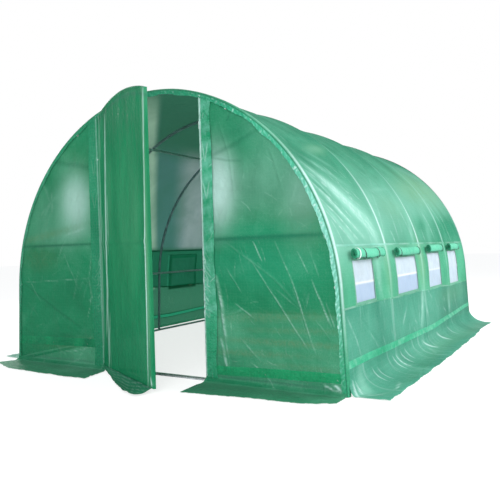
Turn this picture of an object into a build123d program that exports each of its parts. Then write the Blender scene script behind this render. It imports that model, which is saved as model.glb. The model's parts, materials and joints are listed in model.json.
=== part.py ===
from build123d import *
from math import sin, cos, tan, asin, degrees, radians, sqrt
import os

os.makedirs("parts", exist_ok=True)

# driving sizes in mm and degrees
tunnel_width = 3000.0        # across the cover at the ground
bay_length = 900.0           # hoop spacing
bay_count = 4
leg_lean = 2.8               # the legs lean in by this much
knee_height = 626.0          # where the straight leg meets the arc
cover_thick = 2.5
seam_gap = 0.5               # clearance between neighbouring pieces
tube_radius = 12.5           # hoops and door posts
tube_sides = 8               # flats round a bent tube
foot_trim = 6.0              # hoop ends are cut level from this much below the ground
rail_radius = 11.0           # base rails and purlins
gable_rail_height = 950.0
strip_top = 886.0            # window strip, upper seam
strip_seam = 460.0           # window strip, lower seam
weld_height = 150.0          # lower weld, where the side film turns out over the ground
purlin_angle = 61.0          # haunch purlins, up from the horizontal
side_purlin_height = 640.0
post_spacing = 970.0         # between the two door posts
jamb_width = 12.5            # cover wrapped past the post centre
flap_thick = 3.0             # ground flaps at the two ends
flap_reach = 240.0           # ground flaps, out from the cover
front_y = -1651.24           # front face of the cover

# door leaf
leaf_angle = 26.0            # it stands this far open
leaf_bottom = 31.0
leaf_tube_radius = 12.5
leaf_offset = 40.5           # hinge axis to the hinge stile
leaf_clearance = 6.0         # to the free post and to the hoop
leaf_rail_height = 950.0
skirt_reach = 150.0          # door flap at its free corner
skirt_inset = 20.0           # it starts this far from the hinge stile
skirt_corner = 25.0          # its free corner is cut back by this much
skirt_run = 150.0            # and its edge is straight from here
skirt_slope = 5.0

# hinge rings and stop plate
ring_gap = 0.4
ring_thick = 3.0
ring_room = 5.0              # gable cover round each ring
tongue_wide = 8.0
tongue_gap = 0.1
hinge_tall = 24.0
hinge_heights = (300.0, 1000.0, 1600.0)
stop_drop = 181.0            # stop plate below the post's top
stop_tall = 55.0
stop_reach = 36.0            # from the post's middle towards the doorway
stop_thick = 2.0
stop_pad = 8.0               # width of its foot on the post
stop_clearance = 5.5         # behind the closed leaf

# windows, one for each bay: past the bay's start, wide, and the heights of sill and head
window_offsets = (240.0, 200.0, 220.0, 100.0)
window_widths = (360.0, 540.0, 430.0, 380.0)
window_sills = (524.0, 508.0, 492.0, 474.0)
window_heads = (793.0, 787.0, 798.0, 802.0)
window_cut = 150.0           # depth of the cut each side of the cover
mesh_thick = 1.5
mesh_margin = 15.0
mesh_gap = 0.1
flap_margin = 45.0           # hanging flap past its window
roll_deep = 23.0             # half its depth out from the cover: a roll is pressed flat against it
roll_tall = 35.0             # half its height
roll_bore_deep = 9.0
roll_bore_tall = 17.0
roll_lead = 32.0             # a rolled flap starts this far before its window
roll_trails = (150.0, 0.0, 0.0, 0.0)
roll_rise = 41.0             # its middle above the window's head

half_width = tunnel_width / 2
length = bay_length * bay_count
rear_y = front_y + length
lean = radians(leg_lean)
knee_half = half_width - knee_height * tan(lean)
arc_radius = knee_half / cos(lean)
arc_height = knee_height - arc_radius * sin(lean)
apex = arc_height + arc_radius
hoop_inset = cover_thick + seam_gap + tube_radius
inner_inset = cover_thick + seam_gap + 2 * tube_radius + seam_gap
inner_bays = [front_y + bay_length * i for i in range(1, bay_count)]
hoop_y = [front_y + hoop_inset] + inner_bays + [rear_y - hoop_inset]
front_frame_y = hoop_y[0]
rear_frame_y = hoop_y[-1]
post_x = post_spacing / 2
ring_inner = tube_radius + ring_gap
ring_outer = ring_inner + ring_thick
window_starts = [bay_length * index + past for index, past in enumerate(window_offsets)]
windows = list(zip(window_starts, window_widths, window_sills, window_heads))


def side_x(height, inset):
    """distance from the middle at this height, on the cover less an inset"""
    if height < knee_height:
        return half_width - height * tan(lean) - inset / cos(lean)
    return sqrt((arc_radius - inset) ** 2 - (height - arc_height) ** 2)


def top_z(x, inset):
    return arc_height + sqrt((arc_radius - inset) ** 2 - x ** 2)


def hoop_chain(inset, below=0.0):
    """leg, arc and leg at this inset from the cover's outside, for the open line builder"""
    r = arc_radius - inset
    knee = (r * cos(lean), arc_height + r * sin(lean))
    foot = (side_x(-below, inset), -below)
    Line(foot, knee)
    CenterArc((0, arc_height), r, leg_lean, 180 - 2 * leg_lean)
    Line((-knee[0], knee[1]), (-foot[0], -below))


def filled(inset, below=0.0):
    """filled tunnel section at this inset, as a flat sketch"""
    with BuildSketch() as face:
        with BuildLine():
            hoop_chain(inset, below)
            Line((-side_x(-below, inset), -below), (side_x(-below, inset), -below))
        make_face()
    return face.sketch


def save(builder, name):
    builder.part.label = name
    export_step(builder.part, "parts/" + name + ".step")


section = Plane.XZ           # its normal points to -Y, out of the door end
sides = (("left", -1), ("right", 1))

# hoops, each one tube along leg, arc and leg, its feet cut level with the ground
for index, y in enumerate(hoop_y):
    plane = section.offset(-y)
    with BuildPart() as hoop:
        with BuildLine(plane) as hoop_path:
            hoop_chain(hoop_inset, foot_trim)
        with BuildSketch(Plane(hoop_path.line @ 0, x_dir=(0, 1, 0), z_dir=hoop_path.line % 0)):
            RegularPolygon(tube_radius, tube_sides)
        sweep(path=hoop_path.line)
        with BuildSketch(Plane.XY):
            with Locations((0, y)):
                Rectangle(2 * tunnel_width, 4 * tube_radius)
        extrude(amount=-2 * foot_trim, mode=Mode.SUBTRACT)
    save(hoop, "hoop_" + str(index + 1))

# purlins and base rails run the whole length
run_start = front_y + cover_thick + seam_gap
run_end = rear_y - cover_thick - seam_gap
purlin_inset = hoop_inset + tube_radius + rail_radius + seam_gap
purlin_ring = arc_radius - purlin_inset
base_x = side_x(rail_radius, purlin_inset)
haunch_x = purlin_ring * cos(radians(purlin_angle))
haunch_z = arc_height + purlin_ring * sin(radians(purlin_angle))


def long_tube(name, x, z):
    with BuildPart() as tube:
        with BuildSketch(section.offset(-run_start)):
            with Locations((x, z)):
                Circle(rail_radius)
        extrude(amount=-(run_end - run_start))
    save(tube, name)


for side, sign in sides:
    long_tube("side_purlin_" + side, sign * side_x(side_purlin_height, purlin_inset), side_purlin_height)
    long_tube("haunch_purlin_" + side, sign * haunch_x, haunch_z)
    long_tube("base_rail_" + side, sign * base_x, rail_radius)

# gable frames: base rails, door posts and rails
cross_half = base_x - rail_radius - seam_gap
for name, y in (("front_base_rail", front_frame_y), ("rear_base_rail", rear_frame_y)):
    with BuildPart() as cross:
        with BuildSketch(Plane.YZ.offset(-cross_half)):
            with Locations((y, rail_radius)):
                Circle(rail_radius)
        extrude(amount=2 * cross_half)
    save(cross, name)


def inside_hoop(y):
    """block inside the hoop's inner line, to cut a frame piece at this place to length"""
    with BuildPart() as block:
        with BuildSketch(section.offset(-(y - 2 * tube_radius))):
            add(filled(inner_inset))
        extrude(amount=-4 * tube_radius)
    return block.part


post_foot = 2 * rail_radius + seam_gap
for end, y in (("front", front_frame_y), ("rear", rear_frame_y)):
    for side, sign in sides:
        with BuildPart() as post:
            with BuildSketch(Plane.XY.offset(post_foot)):
                with Locations((sign * post_x, y)):
                    Circle(tube_radius)
            extrude(amount=top_z(post_x, 0) - post_foot)
            add(inside_hoop(y), mode=Mode.INTERSECT)
        save(post, end + "_post_" + side)

# front rails run from each post to the hoop, the rear one runs right across behind its posts
for side, sign in sides:
    near = post_x + tube_radius + seam_gap
    with BuildPart() as rail:
        with BuildSketch(Plane.YZ.offset(sign * near)):
            with Locations((front_frame_y, gable_rail_height)):
                Circle(rail_radius)
        extrude(amount=sign * (half_width - near))
        add(inside_hoop(front_frame_y), mode=Mode.INTERSECT)
    save(rail, "front_rail_" + side)

rear_rail_y = rear_frame_y - tube_radius - rail_radius - seam_gap
with BuildPart() as rear_rail:
    with BuildSketch(Plane.YZ.offset(-half_width)):
        with Locations((rear_rail_y, gable_rail_height)):
            Circle(rail_radius)
    extrude(amount=tunnel_width)
    add(inside_hoop(rear_rail_y), mode=Mode.INTERSECT)
save(rear_rail, "rear_rail")


def band(low, high, sign, outer=0.0, thick=cover_thick):
    """slice of the cover's section between two heights, on one side or on both"""
    span = half_width + flap_reach
    with BuildSketch() as face:
        add(filled(outer))
        add(filled(outer + thick, 1.0), mode=Mode.SUBTRACT)
        with Locations((sign * span / 2, (low + high) / 2)):
            Rectangle(span * (2 - abs(sign)), high - low, mode=Mode.INTERSECT)
    return face.sketch


# cover over the hoops: roof, window strips with their openings, and lower walls
with BuildPart() as roof_cover:
    with BuildSketch(section.offset(-front_y)):
        add(band(strip_top, 2 * apex, 0))
    extrude(amount=-length)
save(roof_cover, "roof_cover")

for side, sign in sides:
    with BuildPart() as lower_cover:
        with BuildSketch(section.offset(-front_y)):
            add(band(weld_height + seam_gap, strip_seam, sign))
        extrude(amount=-length)
    save(lower_cover, "lower_cover_" + side)

    with BuildPart() as window_strip:
        with BuildSketch(section.offset(-front_y)):
            add(band(strip_seam, strip_top, sign))
        extrude(amount=-length)
        for start, wide, sill, head in windows:
            with Locations((sign * half_width, front_y + start + wide / 2, (sill + head) / 2)):
                Box(2 * window_cut, wide, head - sill, mode=Mode.SUBTRACT)
    save(window_strip, "window_strip_" + side)

    # mesh behind the openings
    with BuildPart() as window_mesh:
        for start, wide, sill, head in windows:
            with BuildSketch(section.offset(-(front_y + start - mesh_margin))):
                add(band(sill - mesh_margin, head + mesh_margin, sign, cover_thick + mesh_gap, mesh_thick))
            extrude(amount=-(wide + 2 * mesh_margin))
    save(window_mesh, "window_mesh_" + side)

# window flaps rolled up on the right
for index, (start, wide, sill, head) in enumerate(windows):
    height = head + roll_rise
    tilt = degrees(asin((height - arc_height) / (arc_radius + roll_deep + seam_gap)))
    with BuildPart() as flap_roll:
        with BuildSketch(section.offset(-(front_y + start - roll_lead))):
            with Locations((side_x(height, -roll_deep - seam_gap), height)):
                Ellipse(roll_deep, roll_tall, rotation=tilt)
                Ellipse(roll_bore_deep, roll_bore_tall, rotation=tilt, mode=Mode.SUBTRACT)
        extrude(amount=-(roll_lead + wide + roll_trails[index]))
    save(flap_roll, "flap_roll_" + str(index + 1))

# and hanging down over the mesh on the left
with BuildPart() as window_flaps:
    for start, wide, sill, head in windows:
        with BuildSketch(section.offset(-(front_y + start - flap_margin))):
            add(band(sill - flap_margin, strip_top - flap_margin, -1, -cover_thick - mesh_gap))
        extrude(amount=-(wide + 2 * flap_margin))
save(window_flaps, "window_flaps_left")

# gable covers, with room for the hinge rings on the left
gable_inset = cover_thick + 0.2
jamb_x = post_x - jamb_width
for side, sign in sides:
    with BuildPart() as gable:
        with BuildSketch(section.offset(-front_y)):
            add(filled(gable_inset))
            with Locations((sign * (jamb_x + half_width) / 2, apex / 2)):
                Rectangle(half_width - jamb_x, apex, mode=Mode.INTERSECT)
            if side == "left":
                with Locations([(-post_x, height) for height in hinge_heights]):
                    Rectangle(2 * (ring_outer + ring_room), hinge_tall + 2 * ring_room, mode=Mode.SUBTRACT)
        extrude(amount=-cover_thick)
    save(gable, "front_cover_" + side)

with BuildPart() as rear_cover:
    with BuildSketch(section.offset(-(rear_y - cover_thick))):
        add(filled(gable_inset))
    extrude(amount=-cover_thick)
save(rear_cover, "rear_cover")

# side ground flaps: from the lower weld the film sweeps out and lies on the ground
sweep_radius = (weld_height - cover_thick) / (1 - sin(lean))
for side, sign in sides:
    with BuildPart() as side_flap:
        with BuildSketch(section.offset(-front_y)):
            with BuildLine():
                turned = JernArc((side_x(weld_height, 0), weld_height), (sin(lean), -cos(lean)),
                                 sweep_radius, 90 - leg_lean)
                Line(turned @ 1, (half_width + flap_reach, cover_thick))
                offset(amount=cover_thick, side=Side.RIGHT)
            make_face()
        extrude(amount=-length)
        if side == "left":
            mirror(about=Plane.YZ, mode=Mode.REPLACE)
    save(side_flap, "ground_flap_" + side)

# ground flaps at the rear and each side of the doorway
with BuildPart() as rear_flap:
    with BuildSketch():
        with Locations((0, rear_y + seam_gap + flap_reach / 2)):
            Rectangle(tunnel_width, flap_reach)
    extrude(amount=flap_thick)
save(rear_flap, "ground_flap_rear")

near_y = front_y - seam_gap
foot_x = half_width
flap_outlines = {
    "left": [(-foot_x, 0), (-foot_x - 70, -120), (-foot_x + 315, -275), (-post_x - 120, -305),
             (-post_x + 135, -265), (-post_x + 135, -90), (-post_x, 0)],
    "right": [(foot_x, 0), (foot_x, -120), (foot_x - 180, -215), (foot_x - 500, -250),
              (post_x + 25, -300), (post_x, 0)],
}
for side, sign in sides:
    with BuildPart() as front_flap:
        with BuildSketch():
            with BuildLine():
                Polyline([(x, near_y + y) for x, y in flap_outlines[side]], close=True)
            make_face()
        extrude(amount=flap_thick)
    save(front_flap, "ground_flap_front_" + side)

# door leaf, in its own plane: across from the hinge axis, and up
turn = radians(leaf_angle)
hinge = Vector(-post_x, front_frame_y, 0)
leaf_plane = Plane(origin=hinge, x_dir=(cos(turn), -sin(turn), 0), z_dir=(-sin(turn), -cos(turn), 0))
leaf_left = leaf_offset - leaf_tube_radius
leaf_right = post_spacing - tube_radius - leaf_clearance - cover_thick - seam_gap
leaf_arc = arc_radius - inner_inset - leaf_clearance - cover_thick - seam_gap


def leaf_arch(grow):
    """stile, arched top and stile of the leaf's outline, larger by grow, for the open line builder"""
    left = leaf_left - grow
    right = leaf_right + grow
    low = leaf_bottom - grow
    r = leaf_arc + grow
    rise_left = arc_height + sqrt(r ** 2 - (left - post_x) ** 2)
    rise_right = arc_height + sqrt(r ** 2 - (right - post_x) ** 2)
    Line((left, low), (left, rise_left))
    ThreePointArc((left, rise_left), (post_x, arc_height + r), (right, rise_right))
    Line((right, rise_right), (right, low))


def leaf_face(grow):
    with BuildSketch() as face:
        with BuildLine():
            leaf_arch(grow)
            Line((leaf_right + grow, leaf_bottom - grow), (leaf_left - grow, leaf_bottom - grow))
        make_face()
    return face.sketch


# its frame: one tube up, over and down, with a foot bar and a rail between the stiles
bar_length = leaf_right - leaf_left - 2 * leaf_tube_radius
with BuildPart() as door_frame:
    with BuildLine(leaf_plane) as frame_path:
        leaf_arch(-leaf_tube_radius)
    with BuildSketch(Plane(frame_path.line @ 0, x_dir=leaf_plane.z_dir, z_dir=(0, 0, 1))):
        RegularPolygon(leaf_tube_radius, tube_sides)
    sweep(path=frame_path.line, transition=Transition.RIGHT)
    for height in (leaf_bottom + leaf_tube_radius, leaf_rail_height):
        bar_start = leaf_plane.from_local_coords(Vector(leaf_left + leaf_tube_radius, height, 0))
        with BuildSketch(Plane(bar_start, x_dir=leaf_plane.z_dir, z_dir=leaf_plane.x_dir)):
            RegularPolygon(leaf_tube_radius, tube_sides)
        extrude(amount=bar_length)
save(door_frame, "door_frame")

# cover stretched on the outer face and turned back round the edges
with BuildPart() as door_cover:
    with BuildSketch(leaf_plane.offset(-leaf_tube_radius)):
        add(leaf_face(seam_gap + cover_thick))
        add(leaf_face(seam_gap), mode=Mode.SUBTRACT)
    extrude(amount=2 * leaf_tube_radius + seam_gap)
    with BuildSketch(leaf_plane.offset(leaf_tube_radius + seam_gap)):
        add(leaf_face(seam_gap + cover_thick))
    extrude(amount=cover_thick)
save(door_cover, "door_cover")

# flap along the bottom of the leaf, widening towards the free corner and sloping to the ground
skirt_front = leaf_tube_radius + 2 * seam_gap + cover_thick
fold = hinge + leaf_plane.z_dir * skirt_front + Vector(0, 0, leaf_bottom)
slope = radians(skirt_slope)
skirt_plane = Plane(origin=fold, x_dir=leaf_plane.x_dir,
                    z_dir=leaf_plane.z_dir * sin(slope) + Vector(0, 0, cos(slope)))
with BuildPart() as door_skirt:
    with BuildSketch(skirt_plane):
        with BuildLine():
            Polyline([(leaf_left + skirt_inset, 0), (leaf_right, 0),
                      (leaf_right - skirt_corner, -skirt_reach),
                      (leaf_right - skirt_run, -0.93 * skirt_reach)], close=True)
        make_face()
    extrude(amount=-cover_thick)
save(door_skirt, "door_skirt")

# three rings that turn on the left post, each with a tongue to the leaf
tongue_end = leaf_left - seam_gap - cover_thick - tongue_gap
with BuildPart() as door_hinges:
    for height in hinge_heights:
        ring_base = Vector(hinge.X, hinge.Y, height - hinge_tall / 2)
        with BuildSketch(Plane(ring_base, x_dir=leaf_plane.x_dir, z_dir=(0, 0, 1))):
            Circle(ring_outer)
            with Locations(((ring_inner + tongue_end) / 2, 0)):
                Rectangle(tongue_end - ring_inner, tongue_wide)
            Circle(ring_inner, mode=Mode.SUBTRACT)
        extrude(amount=hinge_tall)
save(door_hinges, "door_hinges")

# stop plate on the right post, behind the closed leaf: a foot on the post and a lip into the doorway
stop_height = top_z(post_x, inner_inset) - stop_drop
lip_y = front_frame_y + leaf_tube_radius + stop_clearance
with BuildPart() as door_stop:
    with BuildSketch(Plane.XY.offset(stop_height - stop_tall / 2)):
        with Locations((post_x, (front_frame_y + tube_radius + lip_y) / 2)):
            Rectangle(stop_pad, lip_y - front_frame_y - tube_radius)
        with Locations((post_x - stop_reach / 2 + stop_pad / 2, lip_y + stop_thick / 2)):
            Rectangle(stop_reach + stop_pad, stop_thick)
    extrude(amount=stop_tall)
save(door_stop, "door_stop")
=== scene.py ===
import math
import bpy
import numpy as np
from mathutils import Matrix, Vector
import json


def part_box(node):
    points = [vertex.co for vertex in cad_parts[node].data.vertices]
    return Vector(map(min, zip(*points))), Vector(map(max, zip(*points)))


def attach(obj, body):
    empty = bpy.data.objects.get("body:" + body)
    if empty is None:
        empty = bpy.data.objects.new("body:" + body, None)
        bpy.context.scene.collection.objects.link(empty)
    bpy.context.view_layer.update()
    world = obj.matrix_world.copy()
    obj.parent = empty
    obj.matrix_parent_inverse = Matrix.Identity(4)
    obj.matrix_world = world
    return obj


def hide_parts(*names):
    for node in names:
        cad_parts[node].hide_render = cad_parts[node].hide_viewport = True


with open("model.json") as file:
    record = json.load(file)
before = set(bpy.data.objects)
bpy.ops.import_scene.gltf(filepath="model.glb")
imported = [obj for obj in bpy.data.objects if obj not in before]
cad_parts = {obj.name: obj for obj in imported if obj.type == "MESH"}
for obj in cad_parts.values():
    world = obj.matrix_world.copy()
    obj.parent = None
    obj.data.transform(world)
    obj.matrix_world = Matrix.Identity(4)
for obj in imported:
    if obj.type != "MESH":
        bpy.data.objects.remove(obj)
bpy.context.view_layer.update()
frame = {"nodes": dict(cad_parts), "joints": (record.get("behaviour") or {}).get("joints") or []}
nodes = frame["nodes"]
scene = bpy.context.scene

# the cover's section and its place, all in metres; heights are above the ground, lengths are from the front face;
# film that lies on the ground is drawn at "lying", and nothing of it goes below "lowest"
tunnel = {
    "halfWidth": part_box("lower_cover_right")[1].x,
    "front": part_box("roof_cover")[0].y,
    "length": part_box("roof_cover")[1].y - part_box("roof_cover")[0].y,
    "knee": 0.626, "lean": math.radians(2.8), "hoopInset": 0.0155,
    "stripTop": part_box("window_strip_right")[1].z,
    "railHeight": 0.952, "lying": 0.0035, "lowest": 0.0015,
}
front, length, lean = tunnel["front"], tunnel["length"], tunnel["lean"]
kneeX = tunnel["halfWidth"] - tunnel["knee"] * math.tan(lean)
arcRadius = kneeX / math.cos(lean)
arcHeight = tunnel["knee"] - arcRadius * math.sin(lean)
legLength = tunnel["knee"] / math.cos(lean)
arcLength = arcRadius * (math.pi - 2 * lean)
around = 2 * legLength + arcLength
hoopBoxes = [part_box("hoop_%d" % i) for i in range(1, 6)]
hoopAt = np.array([(lo.y + hi.y) / 2 - front for lo, hi in hoopBoxes])
postX = float(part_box("front_post_right")[0].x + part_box("front_post_right")[1].x) / 2
# each window's start and end along the tunnel, and the heights of its sill and its head
windows = [(0.240, 0.600, 0.524, 0.793), (1.100, 1.640, 0.508, 0.787), (2.020, 2.450, 0.492, 0.798),
           (2.800, 3.180, 0.474, 0.802)]
windowEdges = [edge for w in windows for edge in w[:2]]
sides = (("right", 1), ("left", -1))


def clamp(x):
    return np.clip(x, 0, 1)


def bell(x, width):
    # a soft bump: 1 in the middle, and e to the power of less the square of x over the width beside it
    return np.exp(-(x / width) ** 2)


def walked(s, sign):
    # a length walked up from the right foot, or the same one from the left foot where the sign is negative
    return s if sign > 0 else around - s


def fromFoot(s):
    # the way to the nearer foot
    return np.minimum(s, around - s)


def section(s, inset=0.0):
    # leg, arc and leg: the arc's angle follows from the length s walked up from the right foot, and what is left
    # over runs straight along the leg; inset moves the point in towards the axis
    s = np.asarray(s, float)
    past = np.clip(s - legLength, 0, arcLength)
    angle = lean + past / arcRadius
    nx, nz = np.cos(angle), np.sin(angle)
    over = s - legLength - past
    return (arcRadius - inset) * nx - over * nz, arcHeight + (arcRadius - inset) * nz + over * nx


def lengthAt(z):
    # inverse of the section on the right side: height to length walked from the foot
    z = np.asarray(z, float)
    arc = legLength + arcRadius * (np.arcsin(np.clip((z - arcHeight) / arcRadius, -1, 1)) - lean)
    return np.where(z < tunnel["knee"], z / math.cos(lean), arc)


def halfAt(z, inset=0.0):
    # half the tunnel's width at this height, on the cover less an inset
    z = np.asarray(z, float)
    arc = np.sqrt(np.maximum((arcRadius - inset) ** 2 - (z - arcHeight) ** 2, 0))
    return np.where(z < tunnel["knee"], tunnel["halfWidth"] - z * math.tan(lean) - inset / math.cos(lean), arc)


def steps(*stops):
    # runs of evenly spaced values: (start, count), (next start, count) ... (end,)
    out = [np.linspace(a[0], b[0], a[1], endpoint=False) for a, b in zip(stops[:-1], stops[1:])]
    return np.concatenate(out + [np.array([stops[-1][0]])])


def wave(u, v, seed, scale):
    # seven sines in seeded directions, each 1.45 times as fine as the last one and 0.72 times as strong
    turn = np.random.default_rng(seed)
    total, size = np.zeros(np.broadcast(u, v).shape), 0.0
    for i in range(7):
        f, a, p = 1.45 ** i / scale, turn.uniform(0, math.pi), turn.uniform(0, 2 * math.pi)
        w = 0.72 ** i
        wander = 1.3 * np.sin(0.7 * f * (v - u) + p)
        total = total + w * np.sin(2 * math.pi * f * (u * math.cos(a) + v * math.sin(a)) + p + wander)
        size += w
    return total / size * 1.6


def creaseField(u, v, creases):
    # every crease is a line of points with a width, a rise and a painted glint: across it the height is a narrow
    # bell less a wider one, and both ends fade out; returns the height and the painted glint of all of them
    # together
    u, v = np.broadcast_arrays(u, v)
    height, shine = np.zeros(u.shape), np.zeros(u.shape)
    for line, width, rise, gloss in creases:
        line = np.asarray(line, float)
        lo, hi = line.min(0) - 6 * width, line.max(0) + 6 * width
        near = (u > lo[0]) & (u < hi[0]) & (v > lo[1]) & (v < hi[1])
        if not near.any():
            continue
        pu, pv = u[near], v[near]
        runs = np.hypot(*np.diff(line, axis=0).T)
        starts = np.concatenate([[0], np.cumsum(runs)])
        best, along = np.full(pu.shape, 9.0), np.zeros(pu.shape)
        for a, b, start, run in zip(line[:-1], line[1:], starts, runs):
            t = clamp(((pu - a[0]) * (b[0] - a[0]) + (pv - a[1]) * (b[1] - a[1])) / run ** 2)
            d = np.hypot(pu - a[0] - t * (b[0] - a[0]), pv - a[1] - t * (b[1] - a[1]))
            along = np.where(d < best, (start + t * run) / starts[-1], along)
            best = np.minimum(best, d)
        fade = clamp(4 * along * (1 - along)) ** 0.6
        height[near] += rise * fade * (1.3 * bell(best, width) - 0.3 * bell(best, 2.8 * width))
        shine[near] = np.maximum(shine[near], gloss * fade * bell(best, 0.75 * width))
    return height, shine


def scattered(seed, count, area, angle, spread, size, width, rise, shine):
    # seeded short creases inside an area, turned about one angle, each bent a little at its middle
    turn = np.random.default_rng(seed)
    out = []
    for _ in range(count):
        u, v = turn.uniform(area[0], area[1]), turn.uniform(area[2], area[3])
        a, r = angle + turn.normal(0, spread), turn.uniform(*size) / 2
        bend = turn.normal(0, 0.06) * r
        du, dv = r * math.cos(a), r * math.sin(a)
        line = [(u - du, v - dv), (u - bend * dv / r, v + bend * du / r), (u + du, v + dv)]
        out.append((line, width * turn.uniform(0.6, 1.3), rise * turn.uniform(0.3, 1.0) * turn.choice([1, 1, -1]),
                    shine * turn.uniform(0, 1) ** 2))
    return out


def scaled(creases, width, rise, shine):
    # the same creases, all of them narrower, lower or with fainter painted glints, by a factor
    return [(line, w * width, r * rise, gloss * shine) for line, w, r, gloss in creases]


def broken(u, v, seed, size=0.07):
    # painted glints on creases are uneven along their length: a factor between 0.3 and 1
    return 0.3 + 0.7 * clamp(wave(u, v, seed, size) + 0.5)


def patches(u, v, ovals):
    # soft ovals added up, each a place, a half length, a half width, a turn and an amount: a bell over its own
    # two axes
    total = np.zeros(np.broadcast(u, v).shape)
    for placeU, placeV, long, wide, turn, amount in ovals:
        du, dv = u - placeU, v - placeV
        a = (du * math.cos(turn) + dv * math.sin(turn)) / long
        b = (dv * math.cos(turn) - du * math.sin(turn)) / wide
        total = total + amount * np.exp(-(a * a + b * b) ** 1.2)
    return total


def lines(u, v, drawn):
    # soft lines drawn through points, each with a half width and an amount: the strongest one counts
    total = np.zeros(np.broadcast(u, v).shape)
    for line, width, amount in drawn:
        total = np.maximum(total, amount * creaseField(u, v, [(line, width, 0.0, 1.0)])[1] ** 0.5)
    return total


def gridFaces(rows, columns, keep=None):
    # four corners of each cell of a grid of rows by columns; keep leaves out the cells that are openings
    index = np.arange(rows * columns).reshape(rows, columns)
    quads = np.stack([index[:-1, :-1], index[:-1, 1:], index[1:, 1:], index[1:, :-1]], -1)
    return quads.reshape(-1, 4) if keep is None else quads[keep]


def joinGrids(grids):
    # several grids of points, with more values at each point, as one list of points, faces and values
    points, faces, extra, start = [], [], [], 0
    for grid, more in grids:
        rows, columns = grid.shape[:2]
        points.append(grid.reshape(-1, 3))
        extra.append(np.asarray(more, float).reshape(rows * columns, -1))
        faces.append(gridFaces(rows, columns) + start)
        start += rows * columns
    return np.concatenate(points), np.concatenate(faces), np.concatenate(extra)


def stacked(*values):
    # grids or rows and columns of numbers, spread to one shape and put side by side at each point
    return np.stack(np.broadcast_arrays(*values), -1)


def meshPiece(name, points, faces, material, slot, body="tunnel", uv=None, masks=None, facing=None):
    # puts arrays of points and four-cornered faces into a mesh; facing is the side that its faces look to
    points = np.asarray(points, float).reshape(-1, 3)
    faces = np.asarray(faces, int)
    if facing is not None:
        a, b, c = (points[faces[:, i]] for i in (0, 1, 3))
        if callable(facing):
            facing = facing(a)
        if (np.cross(b - a, c - a) * facing).sum() < 0:
            faces = faces[:, ::-1]
    used = np.unique(faces)
    place = np.full(len(points), -1)
    place[used] = np.arange(len(used))
    mesh = bpy.data.meshes.new(name)
    mesh.vertices.add(len(used))
    mesh.vertices.foreach_set("co", points[used].astype(np.float32).ravel())
    corners = place[faces].ravel()
    mesh.loops.add(len(corners))
    mesh.loops.foreach_set("vertex_index", corners.astype(np.int32))
    mesh.polygons.add(len(faces))
    mesh.polygons.foreach_set("loop_start", np.arange(0, len(corners), 4, dtype=np.int32))
    mesh.polygons.foreach_set("use_smooth", np.full(len(faces), True))
    mesh.update(calc_edges=True)
    mesh.validate()
    if uv is not None:
        flat = np.asarray(uv, float).reshape(-1, 2)[faces.ravel()]
        mesh.uv_layers.new(name="cloth").data.foreach_set("uv", flat.astype(np.float32).ravel())
    for key, values in (masks or {}).items():
        mask = mesh.attributes.new(key, "FLOAT", "POINT")
        mask.data.foreach_set("value", np.asarray(values, float).ravel()[used].astype(np.float32))
    piece = bpy.data.objects.new(name, mesh)
    scene.collection.objects.link(piece)
    mesh.materials.append(material)
    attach(piece, body)
    return piece


def filmMasks(shape, **given):
    # what a film material reads at each point: painted glints, welded strip, pale tint with painted sheen, olive
    # tint and painted shade, each 0 where not given
    return {key: np.broadcast_to(given.get(key, 0.0), shape) for key in ("shine", "weld", "haze", "warm", "dark")}


def sheetGrid(name, x, y, z, material, slot, u, v, keep=None, body="tunnel", facing=None, **masks):
    # one sheet of film from grids of its points and of its flat place in metres
    points = stacked(x, y, z)
    rows, columns = points.shape[:2]
    return meshPiece(name, points, gridFaces(rows, columns, keep), material, slot, body, stacked(u, v),
                     filmMasks((rows, columns), **masks), facing)


def tubeAlong(name, path, radius, material, slot, count=16):
    # a ring of the given radius carried along a path of points; the ends are closed by a ring drawn to the middle
    path = np.concatenate([path[:1], path, path[-1:]])
    radius = np.concatenate([[0.0005], radius, [0.0005]])[:, None, None]
    ahead = np.roll(path, -1, 0) - np.roll(path, 1, 0)
    ahead[0], ahead[1] = path[2] - path[1], path[2] - path[1]
    ahead[-1], ahead[-2] = path[-2] - path[-3], path[-2] - path[-3]
    ahead /= np.linalg.norm(ahead, axis=1)[:, None]
    side = np.cross(ahead, np.array([0.0, 1.0, 0.0]))
    side /= np.linalg.norm(side, axis=1)[:, None]
    top = np.cross(side, ahead)
    turn = np.linspace(0, 2 * math.pi, count, endpoint=False)
    c, s = np.cos(turn)[None, :, None], np.sin(turn)[None, :, None]
    ring = path[:, None] + radius * (c * side[:, None] + s * top[:, None])
    index = np.arange(len(path) * count).reshape(len(path), count)
    a, b = index[:-1], index[1:]
    faces = np.stack([a, np.roll(a, -1, 1), np.roll(b, -1, 1), b], -1).reshape(-1, 4)
    run = np.concatenate([[0], np.cumsum(np.linalg.norm(np.diff(path, axis=0), axis=1))])
    centre = np.repeat(path, count, 0)
    return meshPiece(name, ring, faces, material, slot, uv=stacked(turn[None] * 0.012, run[:, None]),
                     facing=lambda at: at - centre[faces[:, 0]])


print("shapes ready")


def socketGroup(name, inputs, outputs):
    # an empty node group: inputs are label, kind and default, outputs are labels of plain numbers
    group = bpy.data.node_groups.new(name, "ShaderNodeTree")
    for label, kind, value in inputs:
        made = group.interface.new_socket(label, in_out="INPUT", socket_type="NodeSocket" + kind)
        if value is not None:
            made.default_value = value
    for label in outputs:
        group.interface.new_socket(label, in_out="OUTPUT", socket_type="NodeSocketFloat")
    return group, group.nodes.new("NodeGroupInput"), group.nodes.new("NodeGroupOutput")


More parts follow.
